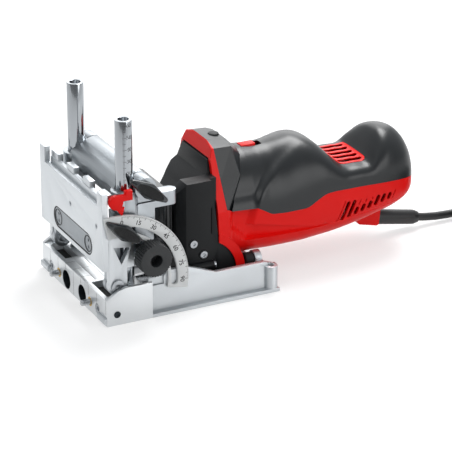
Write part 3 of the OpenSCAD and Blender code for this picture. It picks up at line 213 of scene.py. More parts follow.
# The solids by their finish and the rounding of their edges in millimetres
DRESS = {
    "faced": {0.4: "front_block"},
    "cast": {0.7: "base_frame", 0.4: "bearing_plate", 0.2: "motor_fan"},
    "carriage_painted_shade": {0.5: "carriage crossbar_caps"},
    "milled": {0.5: "fence_plate fence_cheek_near fence_cheek_far", 0.4: "fence_rail"},
    "hatched": {0.2: "inset_plate"},
    "enamel": {0.3: "arc_scale"},
    "chrome": {0.5: "height_column_near height_column_far"},
    "steel": {
        0.3: "guide_columns clamp_rod angle_bolt idler_shaft spindle_near spindle_far",
        0.2: "stop_pin_near stop_pin_far motor_bearings spindle_bearings",
        0.1: "height_pinion motor_pinion idler_gear",
    },
    "screw": {0.3: "block_screws hinge_pins housing_screws", 0.2: "fence_screws"},
    "brass": {0.3: "brush_holders", 0.2: "stop_pin_bushes guide_bushes"},
    "winding": {0.4: "stator", 0.3: "armature"},
    "spring": {0.0: "return_springs stop_pin_spring_near stop_pin_spring_far"},
    "red": {0.8: "switch_slider", 0.7: "front_band", 0.5: "pointer", 0.4: "top_grille", 0.3: "lower_shell"},
    "grip": {0.7: "tower_cover", 0.3: "upper_shell"},
    "nylon": {1.0: "gear_housing", 0.6: "lock_button", 0.4: "motor_frame"},
    "lever": {0.5: "spindle_nose"},
    "knob": {0.8: "height_lever angle_lever", 0.4: "handwheel"},
    "rubber": {0.8: "rear_buffers"},
    "sheath": {1.0: "plug", 0.5: "cord_boot", 0.3: "cord_tie", 0.0: "cord_lead cord_coil"},
}
# The least angle of a rounded edge in degrees, and the solids with softer edges
EDGE_ANGLE = 30
SOFT_EDGES = {"front_band": 14, "tower_cover": 8}


# Geometry Nodes


def new_tree(name, **inputs):
    """A tree that takes and gives a geometry, with further named inputs by their kind of socket."""
    tree = bpy.data.node_groups.new(name, "GeometryNodeTree")
    tree.interface.new_socket("Geometry", in_out="INPUT", socket_type="NodeSocketGeometry")
    for label, kind in inputs.items():
        tree.interface.new_socket(label.replace("_", " "), in_out="INPUT", socket_type="NodeSocket" + kind)
    tree.interface.new_socket("Geometry", in_out="OUTPUT", socket_type="NodeSocketGeometry")
    return tree, add(tree, "NodeGroupInput").outputs


def close_tree(tree, shape, material):
    """Ends a tree with its instances made real and given their material."""
    whole = add(tree, "GeometryNodeRealizeInstances", {"Geometry": shape})
    coated = add(tree, "GeometryNodeSetMaterial", {"Geometry": whole, "Material": material})
    add(tree, "NodeGroupOutput", {"Geometry": coated})


def sharp_tree():
    """Shades a mesh smooth and keeps its edges sharper than an angle."""
    tree, given = new_tree("Smooth Faces", Edge_Angle="Float")
    plain = add(tree, "GeometryNodeRemoveAttribute", {"Geometry": given["Geometry"], "Name": "custom_normal"})
    edge = add(tree, "GeometryNodeInputMeshEdgeAngle")
    sharp = add(tree, "FunctionNodeCompare", {"A": edge, "B": given["Edge Angle"]}, operation="GREATER_THAN")
    faces = add(tree, "GeometryNodeSetShadeSmooth", {"Geometry": plain, "Shade Smooth": True}, domain="FACE")
    creased = {"Geometry": faces, "Selection": sharp, "Shade Smooth": False}
    edges = add(tree, "GeometryNodeSetShadeSmooth", creased, domain="EDGE")
    add(tree, "NodeGroupOutput", {"Geometry": edges})


def marks_tree():
    """Sets a mark on each point, turned and sized by the point's own values."""
    tree, given = new_tree("Repeated Marks", Mark="Object", Finish="Material")
    mark = add(tree, "GeometryNodeObjectInfo", {"Object": given["Mark"]}).outputs["Geometry"]
    turn = add(tree, "GeometryNodeInputNamedAttribute", {"Name": "turn"}, data_type="FLOAT_VECTOR")
    size = add(tree, "GeometryNodeInputNamedAttribute", {"Name": "size"}, data_type="FLOAT_VECTOR")
    spots = {"Points": given["Geometry"], "Instance": mark, "Rotation": turn, "Scale": size}
    close_tree(tree, add(tree, "GeometryNodeInstanceOnPoints", spots), given["Finish"])


def spring_tree():
    """Winds a round wire into a coil along Z."""
    sizes = {label: "Float" for label in ("Turns", "Radius", "Height", "Wire_Radius")}
    tree, given = new_tree("Coil Spring", **sizes, Finish="Material")
    spiral = {"Rotations": given["Turns"], "Start Radius": given["Radius"], "End Radius": given["Radius"]}
    path = add(tree, "GeometryNodeCurveSpiral", {"Resolution": 20, **spiral, "Height": given["Height"]})
    wire = add(tree, "GeometryNodeCurvePrimitiveCircle", {"Resolution": 8, "Radius": given["Wire Radius"]})
    coil = add(tree, "GeometryNodeCurveToMesh", {"Curve": path, "Profile Curve": wire, "Fill Caps": True})
    close_tree(tree, coil, given["Finish"])


def use_tree(obj, tree_name, **values):
    """Puts a tree on an object and sets its inputs by their names, with spaces as underscores."""
    modifier = obj.modifiers.new(tree_name, "NODES")
    modifier.node_group = bpy.data.node_groups[tree_name]
    for item in modifier.node_group.interface.items_tree:
        key = item.name.replace(" ", "_")
        if item.item_type == "SOCKET" and item.in_out == "INPUT" and key in values:
            modifier[item.identifier] = values[key]


# Meshes


def coat(data, *finish_names):
    """Gives a mesh or curve these finishes and no others."""
    data.materials.clear()
    for name in finish_names:
        data.materials.append(FINISHES[name])


def bevel(obj, width, angle):
    """Rounds an object's edges past an angle in degrees."""
    edge = obj.modifiers.new("Rounded edges", "BEVEL")
    edge.width = width / 1000
    edge.segments = 2
    edge.limit_method = "ANGLE"
    edge.angle_limit = radians(angle)


def round_edges(obj, width, angle=EDGE_ANGLE):
    """Joins a solid's loose triangles, rounds its edges past an angle in degrees and shades it."""
    weld = obj.modifiers.new("Joined triangles", "WELD")
    weld.merge_threshold = 2e-6
    if width > 0:
        flat = obj.modifiers.new("Whole faces", "DECIMATE")
        flat.decimate_type = "DISSOLVE"
        flat.angle_limit = radians(0.8)
        bevel(obj, width, angle)
    use_tree(obj, "Smooth Faces", Edge_Angle=radians(angle + 2))


def evaluated(obj):
    """The mesh of an object after its modifiers; the object is removed."""
    depsgraph = bpy.context.evaluated_depsgraph_get()
    mesh = bpy.data.meshes.new_from_object(obj.evaluated_get(depsgraph), depsgraph=depsgraph)
    bpy.data.objects.remove(obj)
    return mesh


def finished(name, mesh, sharp=32):
    """Merges doubles, turns the faces outwards and shades them smooth but for edges past an angle."""
    made = bmesh.new()
    made.from_mesh(mesh)
    bmesh.ops.remove_doubles(made, verts=made.verts, dist=1e-6)
    bmesh.ops.recalc_face_normals(made, faces=made.faces)
    made.to_mesh(mesh)
    made.free()
    for face in mesh.polygons:
        face.use_smooth = True
    mesh.set_sharp_from_angle(angle=radians(sharp))
    return new_object(name, mesh)


def mesh_piece(name, solid, finish_name, sharp=32):
    """A piece from a solid's points and faces."""
    points, faces = solid
    mesh = bpy.data.meshes.new(name)
    mesh.from_pydata([metres(p) for p in points], [], faces)
    coat(mesh, finish_name)
    return finished(name, mesh, sharp)


def applied(obj, finish_name, sharp=32):
    """An object with its modifiers applied, as a plain piece; its cutting tools are removed."""
    name = obj.name
    tools = [step.object for step in obj.modifiers if step.type == "BOOLEAN"]
    mesh = evaluated(obj)
    for tool in tools:
        bpy.data.objects.remove(tool)
    coat(mesh, finish_name)
    return finished(name, mesh, sharp)


def merged(name, meshes):
    """One mesh from several, which are removed."""
    whole = bmesh.new()
    for mesh in meshes:
        whole.from_mesh(mesh)
        bpy.data.meshes.remove(mesh)
    mesh = bpy.data.meshes.new(name)
    whole.to_mesh(mesh)
    whole.free()
    return mesh


def carried(obj, body, slot, *replaced):
    """Lets a finished piece ride on its body, in place of its solids; its slot is not used."""
    obj.data.name = obj.name
    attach(obj, body)
    if replaced:
        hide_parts(*replaced)
    return obj


# Solids, each as its points and faces, and outlines


def circle(steps):
    """Cosine and sine of even steps round a full turn."""
    return [(cos(2 * pi * k / steps), sin(2 * pi * k / steps)) for k in range(steps)]


def arc(cx, cy, r, start, sweep, steps):
    """Points of an arc, with its angles in degrees."""
    angles = [radians(start + sweep * k / steps) for k in range(steps + 1)]
    return [(cx + r * cos(a), cy + r * sin(a)) for a in angles]


def rounded(x0, x1, y0, y1, r):
    """A rectangle with round corners."""
    corners = ((x1 - r, y1 - r, 0), (x0 + r, y1 - r, 90), (x0 + r, y0 + r, 180), (x1 - r, y0 + r, 270))
    return [p for cx, cy, start in corners for p in arc(cx, cy, r, start, 90, 5)]


def capsule(x0, z0, x1, z1, r):
    """A slot with round ends between two points."""
    lean = degrees(atan2(z1 - z0, x1 - x0))
    return arc(x1, z1, r, lean - 90, 180, 6) + arc(x0, z0, r, lean + 90, 180, 6)


def skin(rings, closed=False):
    """A solid over rings of equal length, capped at its ends or closed from the last ring to the first."""
    n = len(rings[0])
    points = [p for ring in rings for p in ring]
    faces = []
    for i in range(len(rings) if closed else len(rings) - 1):
        a, b = i * n, (i + 1) % len(rings) * n
        faces += [(a + k, a + (k + 1) % n, b + (k + 1) % n, b + k) for k in range(n)]
    if not closed:
        faces += [tuple(reversed(range(n))), tuple(range(len(points) - n, len(points)))]
    return points, faces


def lathe(profile, steps=40):
    """A turned body along x; its profile runs from axis to axis as (along, radius)."""
    return skin([[(along, radius * c, radius * s) for c, s in circle(steps)] for along, radius in profile])


def prism(outline, axis, low, high):
    """An outline in (x, z) drawn along y, or in (x, y) drawn along z."""
    if axis == "y":
        return skin([[(x, t, z) for x, z in outline] for t in (low, high)])
    return skin([[(x, y, t) for x, y in outline] for t in (low, high)])


def together(solids):
    """Several solids as one."""
    points, faces = [], []
    for more, sides in solids:
        faces += [tuple(len(points) + k for k in side) for side in sides]
        points += more
    return points, faces


def placed(point, angle, axis):
    """A turn by an angle in degrees about an axis, then a shift to a point."""
    return Matrix.Translation(point) @ Matrix.Rotation(radians(angle), 4, axis)


def moved(solid, matrix):
    """A solid turned and shifted by a matrix."""
    points, faces = solid
    return [matrix @ Vector(p) for p in points], faces


def cut(obj, name, solids, operation="DIFFERENCE"):
    """Takes solids from a piece, meets it with them or joins them to it."""
    tool = mesh_piece(name, together(solids), "nylon")
    coat(tool.data)
    step = obj.modifiers.new(name, "BOOLEAN")
    step.operation = operation
    step.solver = "EXACT"
    step.object = tool


# Cord: the route of the solids, with the coil in layers

# The boot's root on the tail, its lean and its length
BOOT = Vector((279, 0, 17))
BOOT_TILT = 11
BOOT_LENGTH = 43
# The lead from the boot to the coil, as (x, z)
LEAD = ((340, 5.9), (352, 5.3), (366, 5.05), (380, 5), (400, 5))
# The coil's axis, inner radius, turns in a layer, layers, and the step between its points in degrees
COIL_X, COIL_INNER = 420, 31.5
COIL_TURNS, COIL_LAYERS, COIL_STEP = 3.25, 4, 15
# The gaps between turns, between layers and over the floor
TURN_GAP, LAYER_GAP, FLOOR_GAP = 0.7, 0.6, 1.5
# The tail's turn off the coil, in degrees, and the height of the plug's axis
TAIL_TURN = 195
PLUG_Z = 8.6


def route(d):
    """The cord's centreline from inside the boot to the plug, and the direction of its end."""
    along = Vector((cos(radians(BOOT_TILT)), 0, -sin(radians(BOOT_TILT))))
    mouth = BOOT + BOOT_LENGTH * along
    pitch = d + TURN_GAP
    rest = d / 2 + FLOOR_GAP
    outer = COIL_INNER + pitch * COIL_TURNS
    period = 360 * COIL_TURNS
    end = period * COIL_LAYERS
    hidden, swing, sink = 8, 11, 70
    points = [mouth - hidden * along, mouth + d * along]
    points += [Vector((x, 0, z)) for x, z in (*LEAD, (COIL_X - d, rest))]
    for i in range(ceil((end + TAIL_TURN) / COIL_STEP) + 1):
        a = min(i * COIL_STEP, end + TAIL_TURN)
        tail = max(0, a - end)
        wave = abs(period - a % (2 * period))
        r = COIL_INNER + pitch * (COIL_TURNS if tail > 0 else wave / 360) + swing * smooth(tail / 100)
        climbs = [smooth((min(a, end) - k * period + 90) / 180) for k in range(1, COIL_LAYERS)]
        level = rest + (d + LAYER_GAP) * sum(climbs)
        z = level + (PLUG_Z - level) * smooth((tail - sink) / (TAIL_TURN - sink))
        turn = radians(a)
        points.append(Vector((COIL_X + r * sin(turn), r * cos(turn) - outer, z)))
    way = points[-1] - points[-2]
    way.z = 0
    way.normalize()
    points.append(points[-1] + way * (d + 1))
    return points, way


def strain_relief():
    """A turned strain relief, rooted in the tail and bored for the cord."""
    profile = [(-9, 0.01), (-9, 5.05), (-0.4, 5.05), (0, 5.6), (0.6, 6.5), (3, 6.6)]
    profile += [(3 + 34 * t / 8, 6.6 - 0.25 * t / 8) for t in range(1, 9)]
    profile += [(39, 6.2), (41.4, 5.4), (BOOT_LENGTH, 4.9), (BOOT_LENGTH, 3.52), (36, 3.52), (35, 0.01)]
    solid = moved(lathe(profile), placed(BOOT, BOOT_TILT, "Y"))
    piece = mesh_piece("cord_strain_relief", solid, "sheath", 40)
    return carried(piece, "drive_unit", "rubber", "cord_boot")


def coil_strap(d):
    """A hook-and-loop strap round the coil."""
    pitch = d + TURN_GAP
    outer = COIL_INNER + pitch * COIL_TURNS
    bend, half = 3, 5.8
    far = outer + pitch / 4 + d / 2 - bend
    near = COIL_INNER - pitch / 4 - d / 2 + bend
    top = d + FLOOR_GAP + (d + LAYER_GAP) * (COIL_LAYERS - 1) + 0.3 - bend
    low = 4.2
    rows = [(-half, 3.3), (-half, 4.2), (-half + 0.5, 4.4), (half - 0.5, 4.4), (half, 4.2), (half, 3.3)]
    turn = placed((COIL_X, -outer, 0), 150, "Z")
    rings = []
    for cx, cz, start in ((far, top, 0), (near, top, 90), (near, low, 180), (far, low, 270)):
        for c, s in arc(0, 0, 1, start, 90, 6):
            rings.append([(cx + r * c, y, max(0.05, cz + r * s)) for y, r in rows])
    piece = mesh_piece("coil_strap", moved(skin(rings, closed=True), turn), "rubber", 40)
    return carried(piece, "drive_unit", "rubber", "cord_tie")


def mains_plug(start, way):
    """A moulded two-pin plug: a waisted grip with ribs, a flat face and two round pins."""
    stations = [(0, 6.0, 6.0), (2, 6.4, 6.4), (9, 7.4, 6.8), (14, 8.6, 6.6), (19, 12.4, 7.2),
                (24, 15.2, 7.7), (30, 16.5, 7.95), (38, 16.9, 8.0), (41, 16.8, 7.9), (42, 16.2, 7.4)]
    for rib in (4, 6.5):
        stations += [(rib, 6.7, 6.6), (rib + 0.4, 7.3, 7.1), (rib + 1.1, 7.3, 7.1), (rib + 1.5, 6.9, 6.7)]
    boxed = [[copysign(abs(part) ** 0.7, part) for part in spot] for spot in circle(32)]
    rings = [[(x, wide * c, high * s) for c, s in boxed] for x, wide, high in sorted(stations)]
    turn = placed((start.x, start.y, PLUG_Z), degrees(atan2(way.y, way.x)), "Z")
    body = mesh_piece("mains_plug", moved(skin(rings), turn), "sheath", 50)
    carried(body, "drive_unit", "rubber", "plug")
    pin = lathe([(41, 0.01), (41, 2.3), (59.6, 2.3), (60.6, 1.9), (61, 1.2), (61, 0.01)], 20)
    both = together([moved(pin, turn @ Matrix.Translation((0, y, 0))) for y in (-9.5, 9.5)])
    pins = mesh_piece("mains_plug_pins", both, "brass", 40)
    pins.parent = body
    return body


class JOINER_OT_cord(bpy.types.Operator):
    """Lays the mains cord with its boot, coil tie and plug"""

    bl_idname = "joiner.cord"
    bl_label = "Mains cord"

    def execute(self, context):
        diameter = context.scene.joiner_sizes.cord_diameter
        points, way = route(diameter * 1000)
        curve = bpy.data.curves.new("mains_cord", "CURVE")
        curve.dimensions = "3D"
        curve.bevel_depth = diameter / 2
        curve.bevel_resolution = 4
        curve.use_fill_caps = True
        spline = curve.splines.new("POLY")
        spline.points.add(len(points) - 1)
        for spot, p in zip(spline.points, points):
            spot.co = (*metres(p), 1)
        spline.use_smooth = True
        coat(curve, "sheath")
        cord = new_object("mains_cord", curve)
        boot = strain_relief()
        tie = coil_strap(diameter * 1000)
        plug = mains_plug(points[-1], way)
        carried(cord, "drive_unit", "rubber", "cord_lead", "cord_coil")
        metres(points[0])
        return {"FINISHED"}


# Housing shells

# Sections of the body: place, half width, height of the seam, top, bottom, fullness of the top
SECTIONS = (
    (147, 40, 64.8, 106.4, 21, 1), (153, 40, 61.4, 105.8, 21, 1), (160, 40, 57.5, 105.2, 21, 1),
    (166, 40, 56.8, 105.4, 21, 0.98), (172, 40, 56.3, 105.8, 21, 0.97), (184, 39.8, 56.2, 107.6, 21, 0.92),
    (194, 39.4, 56.6, 108.6, 21, 0.9), (203, 38.9, 61, 107, 21.2, 0.86), (211, 38.4, 64.6, 102.8, 21.5, 0.8),
    (219, 37.9, 65.4, 96, 22, 0.72), (226, 37.5, 65.3, 88, 22.8, 0.62), (233, 37, 65, 82.6, 23.8, 0.55),
    (245, 36.4, 64.7, 81.6, 26, 0.5), (257, 36, 64.2, 82.6, 28.8, 0.55), (265, 35.6, 63.8, 93, 31, 0.75),
    (274, 34.8, 63.4, 101, 33, 0.86), (285, 32.6, 62.5, 101.4, 36.4, 0.92), (294, 29, 61.4, 97, 40, 0.95),
    (301, 23, 60, 88, 44.6, 0.95), (305, 15, 59, 77, 49, 0.95), (306.6, 8, 58.6, 68, 52.6, 0.95),
    (307.2, 2, 58.5, 60.5, 56.8, 0.95), (307.3, 0.2, 58.5, 58.7, 58.3, 0.95),
)
# Height of the seam at the front and behind it, where the belly narrows and ends, and where the hollow ends
SEAM_TOP, SEAM_FRONT = 69, 66.2
BELLY_FRONT, BELLY_BACK = 146, 200
HOLLOW_END = 298


def curve_through(rows, steps):
    """Rows of numbers led through smoothly; the first number of a row is its place along the body."""
    out = []
    for i in range(len(rows) - 1):
        before, a, b, after = (rows[max(0, min(len(rows) - 1, i + k))] for k in (-1, 0, 1, 2))
        span = b[0] - a[0]
        for t in (k / steps for k in range(steps)):
            row = []
            for p, q, r, s in zip(before, a, b, after):
                slope_q = (r - p) / (b[0] - before[0])
                slope_r = (s - q) / (after[0] - a[0])
                ends = (2 * t**3 - 3 * t**2 + 1) * q + (3 * t**2 - 2 * t**3) * r
                row.append(ends + ((t**3 - 2 * t**2 + t) * slope_q + (t**3 - t**2) * slope_r) * span)
            out.append(row)
    return [*out, rows[-1]]


def neck(x, z):
    """How far the shells are drawn in behind the tower, up to a crease that leans back."""
    crease = 146.5 + 0.3 * (z - 66) + 0.026 * max(0, z - 68) ** 2
    return 5.0 * clamp((crease + 1 - x) / 5)


def groove(x, z):
    """How far the lower shell is drawn in between its belly and the lip along its foot."""
    front = clamp((x - 122 - max(0, 51.5 - z)) / 4.5)
    if z < lip(x):
        return 0
    if z < roof(x):
        narrowed = 3.6 * clamp((x - BELLY_FRONT) / (BELLY_BACK - BELLY_FRONT)) + clamp((x - BELLY_BACK) / 20)
        return (5.0 - narrowed) * front * clamp((300 - x) / 12)
    return neck(x, z) * front


def lip(x):
    """Height of the lip along the foot of the lower shell; behind the belly it climbs with the foot."""
    return 38 - 0.022 * (x - 136) if x < BELLY_BACK else 36.6 + 0.0011 * (x - BELLY_BACK) ** 2


def roof(x):
    """Height of the belly's lower edge over the lip."""
    return max(lip(x) + 0.8, 51 - 0.23 * max(0, x - BELLY_FRONT))


def tower_back(z):
    """Place of the tower's rear face, which leans back."""
    return 124.8 + 0.468 * (z - SEAM_TOP)


def shell_piece(name, outer, inner, finish_name):
    """A closed shell between rings outside and fewer rings inside, open at its front and along its seam."""
    n, m, last = len(outer[0]), len(inner), len(outer) - 1
    start = len(outer) * n
    faces = []
    for rings, base in ((outer, 0), (inner, start)):
        for a in range(base, base + (len(rings) - 1) * n, n):
            faces += [(a + k, a + k + 1, a + n + k + 1, a + n + k) for k in range(n - 1)]
    faces += [(k, k + 1, start + k + 1, start + k) for k in range(n - 1)]
    for k in (0, n - 1):
        faces += [(a + k, a + n + k, start + a + n + k, start + a + k) for a in range(0, (m - 1) * n, n)]
    end = start + (m - 1) * n
    faces.append(tuple(end + k for k in range(n)))
    faces.append(tuple(last * n + k for k in range(n)))
    rim = [i * n for i in range(m - 1, last + 1)] + [i * n + n - 1 for i in range(last, m - 2, -1)]
    faces.append((*rim, end + n - 1, end))
    return mesh_piece(name, ([p for ring in (*outer, *inner) for p in ring], faces), finish_name)


def gear_case():
    """The gear housing: its hood drawn back under the red brow, its near side stepped and slotted."""
    mesh = NODES["gear_housing"].data.copy()
    coat(mesh)
    case = finished("gear_case", mesh)
    front = [(60, 82.2), (91.6, 82.2), (106.4, 95.2), (108.8, 108.2), (111.2, 108.4), (111.2, 109.6)]
    front += [(113.8, 109.6), (113.8, 130), (60, 130)]
    back = [(109.6, 49), (105.8, 81.4), (104.3, 93.3), (103.5, 99.5), (111, 99.5), (111, 49)]
    slot = capsule(103.6, 52, 103.6, 74, 0.5)
    near_plate = -28.05
    solids = [prism(front, "y", near_plate, 60), prism(back, "y", -60, -37.5), prism(slot, "y", -60, -41)]
    cut(case, "hood_front", solids)
    round_edges(case, 1.0)
    carried(applied(case, "nylon"), "drive_unit", "black_plastic", "gear_housing")


def band_brow():
    """The sloping front face of the red band over the hood."""
    half = ((26.2, 109.6), (23.7, 117.1), (11.3, 120.8))
    outline = [(-y, z) for y, z in half] + [(y, z) for y, z in reversed(half)]
    thick = 1.6
    faces = [[(109.7 + 0.338 * (z - 109) + depth, y, z) for y, z in outline] for depth in (0, thick)]
    plate = mesh_piece("band_brow", skin(faces), "red", 14)
    round_edges(plate, 0.4, 14)
    carried(applied(plate, "red", 16), "drive_unit", "red_plastic")


def ribbed_nose():
    """The round nose over the spindles, with upright ribs above a plain foot."""
    ribs, start, sweep = 31, 94, 172
    middle, radius, depth = 77, 30, 1.7
    plain, ribbed = [], []
    for k in range(ribs):
        for share, drop in ((0, depth), (0.25, depth), (0.35, 0), (0.75, 0), (0.85, depth)):
            a = radians(start + sweep * (k + share) / ribs)
            ribbed.append((middle + (radius - drop) * cos(a), (radius - drop) * sin(a)))
            plain.append((middle + radius * cos(a), radius * sin(a)))
    solid = together([prism(ribbed, "z", 49.9, 88), prism(plain, "z", 46, 50)])
    carried(mesh_piece("ribbed_nose", solid, "lever", 30), "drive_unit", "black_plastic", "spindle_nose")


def grille_cover():
    """The slotted cover in the saddle, which follows the shell's surface."""
    over, under = 0.35, 0.6
    across = [-23 + 46 * k / 40 for k in range(41)]
    rings = []
    for x, w, seam, top, _, e in curve_through(SECTIONS, 8):
        if 228 < x < 260.5:
            rises = [seam + (top - seam) * (1 - abs(y / w) ** (2 / e)) ** (e / 2) for y in across]
            rings.append([(x, y, z + over) for y, z in zip(across, rises)])
            rings[-1] += [(x, y, z - under) for y, z in zip(across[::-1], rises[::-1])]
    plate = mesh_piece("grille_cover", skin(rings), "red", 40)
    outline = rounded(230.4, 257.6, -21.6, 21.6, 4.1)
    cut(plate, "grille_outline", [prism(outline, "z", 60, 120)], "INTERSECT")
    slots = [capsule(235, y, 253.2, y, 2.5) for y in (-16.4, -8.2, 0, 8.2, 16.4)]
    cut(plate, "grille_slots", [prism(slot, "z", 60, 120) for slot in slots])
    bevel(plate, 0.5, 40)
    carried(applied(plate, "red", 40), "drive_unit", "red_plastic", "top_grille")


def grip_shell():
    """The grip shell, whose front leans back along the tower."""
    lead, wall = 5, 2.4
    x, w, _, *rest = SECTIONS[0]
    rows = [(x, w, SEAM_FRONT - 0.28 * k, *rest) for k in range(lead)] + curve_through(SECTIONS, 5)
    outer, inner = [], []
    for i, (x, w, seam, top, _, e) in enumerate(rows):
        share = min(1, i / lead)
        for rings, thick, drawn in ((outer, 0, True), (inner, wall, False)):
            if drawn or x < HOLLOW_END:
                ring = grip_section(x, w - 3 * thick, seam, top - thick, e, drawn)
                rings.append([((tower_back(z) + 0.1) * (1 - share) + x * share, y, z) for y, z in ring])
    shell = shell_piece("grip_shell", outer, inner, "grip")
    switch = rounded(148.8, 168.2, -4.5, 4.5, 1.2)
    saddle = rounded(230.2, 257.8, -21.8, 21.8, 4.3)
    cut(shell, "grip_openings", [prism(switch, "z", 90, 125), prism(saddle, "z", 66, 112)])
    carried(applied(shell, "grip", 38), "drive_unit", "grey_plastic", "upper_shell")


def grip_section(x, w, seam, top, e, drawn):
    """One section of the upper shell, its points evenly spread over the outline."""
    steps, spread = 240, 48
    fine = []
    for k in range(steps + 1):
        a = pi * k / steps
        c, s = cos(a), max(0, sin(a))
        y, z = -copysign(w * abs(c) ** e, c), seam + (top - seam) * s**e
        fine.append((y * (1 - neck(x, z) / w) if drawn else y, z))
    run = [0.0]
    for p, q in zip(fine, fine[1:]):
        run.append(run[-1] + dist(p, q))
    out, at = [], 0
    for k in range(spread + 1):
        goal = run[-1] * k / spread
        while at < steps - 1 and run[at + 1] < goal:
            at += 1
        t = clamp((goal - run[at]) / max(1e-9, run[at + 1] - run[at]))
        out.append([a * (1 - t) + b * t for a, b in zip(fine[at], fine[at + 1])])
    return out


def motor_shell():
    """The motor shell, with the cord's mount joined to it and the arch and vents cut out."""
    wide, foot, step = 40, 21, 0.7
    front = [(118.3, 41.2, SEAM_TOP, foot), (119.8, 41.1, 68.8, foot)]
    front += [(123.5 + step * k, wide, SEAM_FRONT - step * k / 16.8, foot) for k in range(33)]
    rows = front + [(x, w, seam, low) for x, w, seam, _, low, _ in curve_through(SECTIONS, 5)]
    outer = [motor_section(i, *row, True) for i, row in enumerate(rows)]
    inner = []
    for i, (x, w, seam, low) in enumerate(rows):
        if x < HOLLOW_END:
            inner.append(motor_section(i, x, w - 2.2 - 5 * clamp((216 - x) / 16), seam, low + 2.4, False))
    shell = shell_piece("motor_shell", outer, inner, "red")
    mount = [(253, 36), (257.5, 19), (259.5, 16.8), (276.5, 12.6), (278.6, 13.4), (279.6, 22), (281, 40)]
    arch = [(94 + 39.55 * c, 15 + 39.55 * s) for c, s in circle(96)]
    cut(shell, "cord_mount", [prism(mount, "y", -9, 9)], "UNION")
    cut(shell, "rear_arch", [prism(arch, "y", -60, 60)])
    cut(shell, "vents", vent_slots())
    carried(applied(shell, "red", 38), "drive_unit", "red_plastic", "lower_shell")


def vent_slots():
    """Leaning slots on both sides: two long, three short with a fine slit above, three long again."""
    lean, wide, fine = 0.42, 1.8, 0.4
    lines = []
    for k in range(8):
        x, low, top = 227.6 + 6.45 * k, 38.6 + 1.5 * k, 52
        high = low + 3.6 if k in (2, 3, 4) else top
        lines.append((x, low, high, wide))
        if high < top:
            lines.append((x + lean * (high + 3.2 - low), high + 3.2, top + 0.8, fine))
    lines += [(222.8, 37, 54.2, fine), (276.8, 48, 54.2, fine)]
    slots = [capsule(x, low, x + lean * (high - low), high, r) for x, low, high, r in lines]
    return [prism(slot, "y", *ends) for slot in slots for ends in ((-46, -22), (22, 46))]


def motor_section(i, x, w, seam, low, drawn):
    """One section of the lower shell, from seam to seam; the first two lean forwards at the top."""
    h = seam - low
    edge = min(0.3 / h, 0.01)
    top = min(0.62, (seam - roof(x)) / h)
    foot = max(top + 4 * edge, min(0.8, (seam - lip(x)) / h))
    downs = [top * k / 6 for k in range(6)] + [top - edge, top + edge]
    downs += [top + (foot - top) * k / 4 for k in (1, 2, 3)] + [foot - edge, foot + edge]
    first = asin((foot + edge) ** 2)
    downs += [sin(first + (pi / 2 - first) * k / 12) ** 0.5 for k in range(1, 13)]
    side = []
    for f in downs:
        z = seam - h * min(1, f) - 0.05
        y = w * max(0, 1 - min(1, f) ** 4) ** 0.25
        if drawn and f < foot:
            y -= min(groove(x, max(z, lip(x))), 0.4 * w)
        lean = 0.083 * (SEAM_TOP - z) if i < 2 else 0
        side.append((x + lean, y, z))
    return [(px, -y, z) for px, y, z in side[:-1]] + side[::-1]


class JOINER_OT_housing(bpy.types.Operator):
    """Moulds the two body shells, the grille, the gear case and its nose, and the brow of the band"""

    bl_idname = "joiner.housing"
    bl_label = "Housing shells"

    def execute(self, context):
        for make in (grip_shell, grille_cover, motor_shell, gear_case, band_brow, ribbed_nose):
            make()
        return {"FINISHED"}


# Repeated marks and print


def marks(name, spots, shape, finish_name):
    """A mesh of one shape repeated at spots of place, turn and size, all in metres and radians."""
    mesh = bpy.data.meshes.new(name)
    mesh.from_pydata([spot[0] for spot in spots], [], [])
    for kind, column in (("turn", 1), ("size", 2)):
        values = mesh.attributes.new(kind, "FLOAT_VECTOR", "POINT")
        values.data.foreach_set("vector", [c for spot in spots for c in spot[column]])
    obj = new_object(name, mesh)
    use_tree(obj, "Repeated Marks", Mark=shape, Finish=FINISHES[finish_name])
    made = evaluated(obj)
    bpy.data.objects.remove(shape)
    return made


def plain_shape(name, points, faces):
    """An object with a plain mesh in its own units."""
    mesh = bpy.data.meshes.new(name)
    mesh.from_pydata(points, [], faces)
    return new_object(name, mesh)


def stroke():
    """A flat bar one unit long and wide, cut along its length so that it can bend round a column."""
    corners = ((-0.5, 0), (0.5, 0), (0.5, 1), (-0.5, 1))
    return plain_shape("stroke", *skin([[(x / 4 - 0.5, y, z) for y, z in corners] for x in range(5)]))


def dome():
    """A small round pip."""
    points, faces = lathe([(0, 1), (0.5, 0.8), (0.8, 0.4), (0.85, 0.02)], 8)
    return plain_shape("dome", [(y, z, x) for x, y, z in points], faces)


def line(x, y, turn, long, wide, thick=0.06):
    """The spot of a stroke, from its middle and size in millimetres."""
    return (x / 1000, y / 1000, 0), (0, 0, turn), (long / 1000, wide / 1000, thick / 1000)


def word(text, height, x, y, turn):
    """A flat word as a mesh, its middle at (x, y)."""
    half, bolder = 0.00003, 0.00007
    curve = bpy.data.curves.new("word", "FONT")
    curve.body = text
    curve.size = height / 0.69 / 1000
    curve.align_x = "CENTER"
    curve.align_y = "CENTER"
    curve.extrude = half
    curve.offset = bolder
    curve.resolution_u = 3
    mesh = evaluated(new_object("word", curve))
    mesh.transform(placed((x / 1000, y / 1000, half), degrees(turn), "Z"))
    return mesh


def printed(name, lines, words, lay):
    """A piece of inked lines and words, each point of it laid on its surface."""
    mesh = merged(name, [marks(name, lines, stroke(), "ink"), *words])
    for vertex in mesh.vertices:
        vertex.co = metres(lay(*(c * 1000 for c in vertex.co)))
    coat(mesh, "ink")
    return finished(name, mesh)


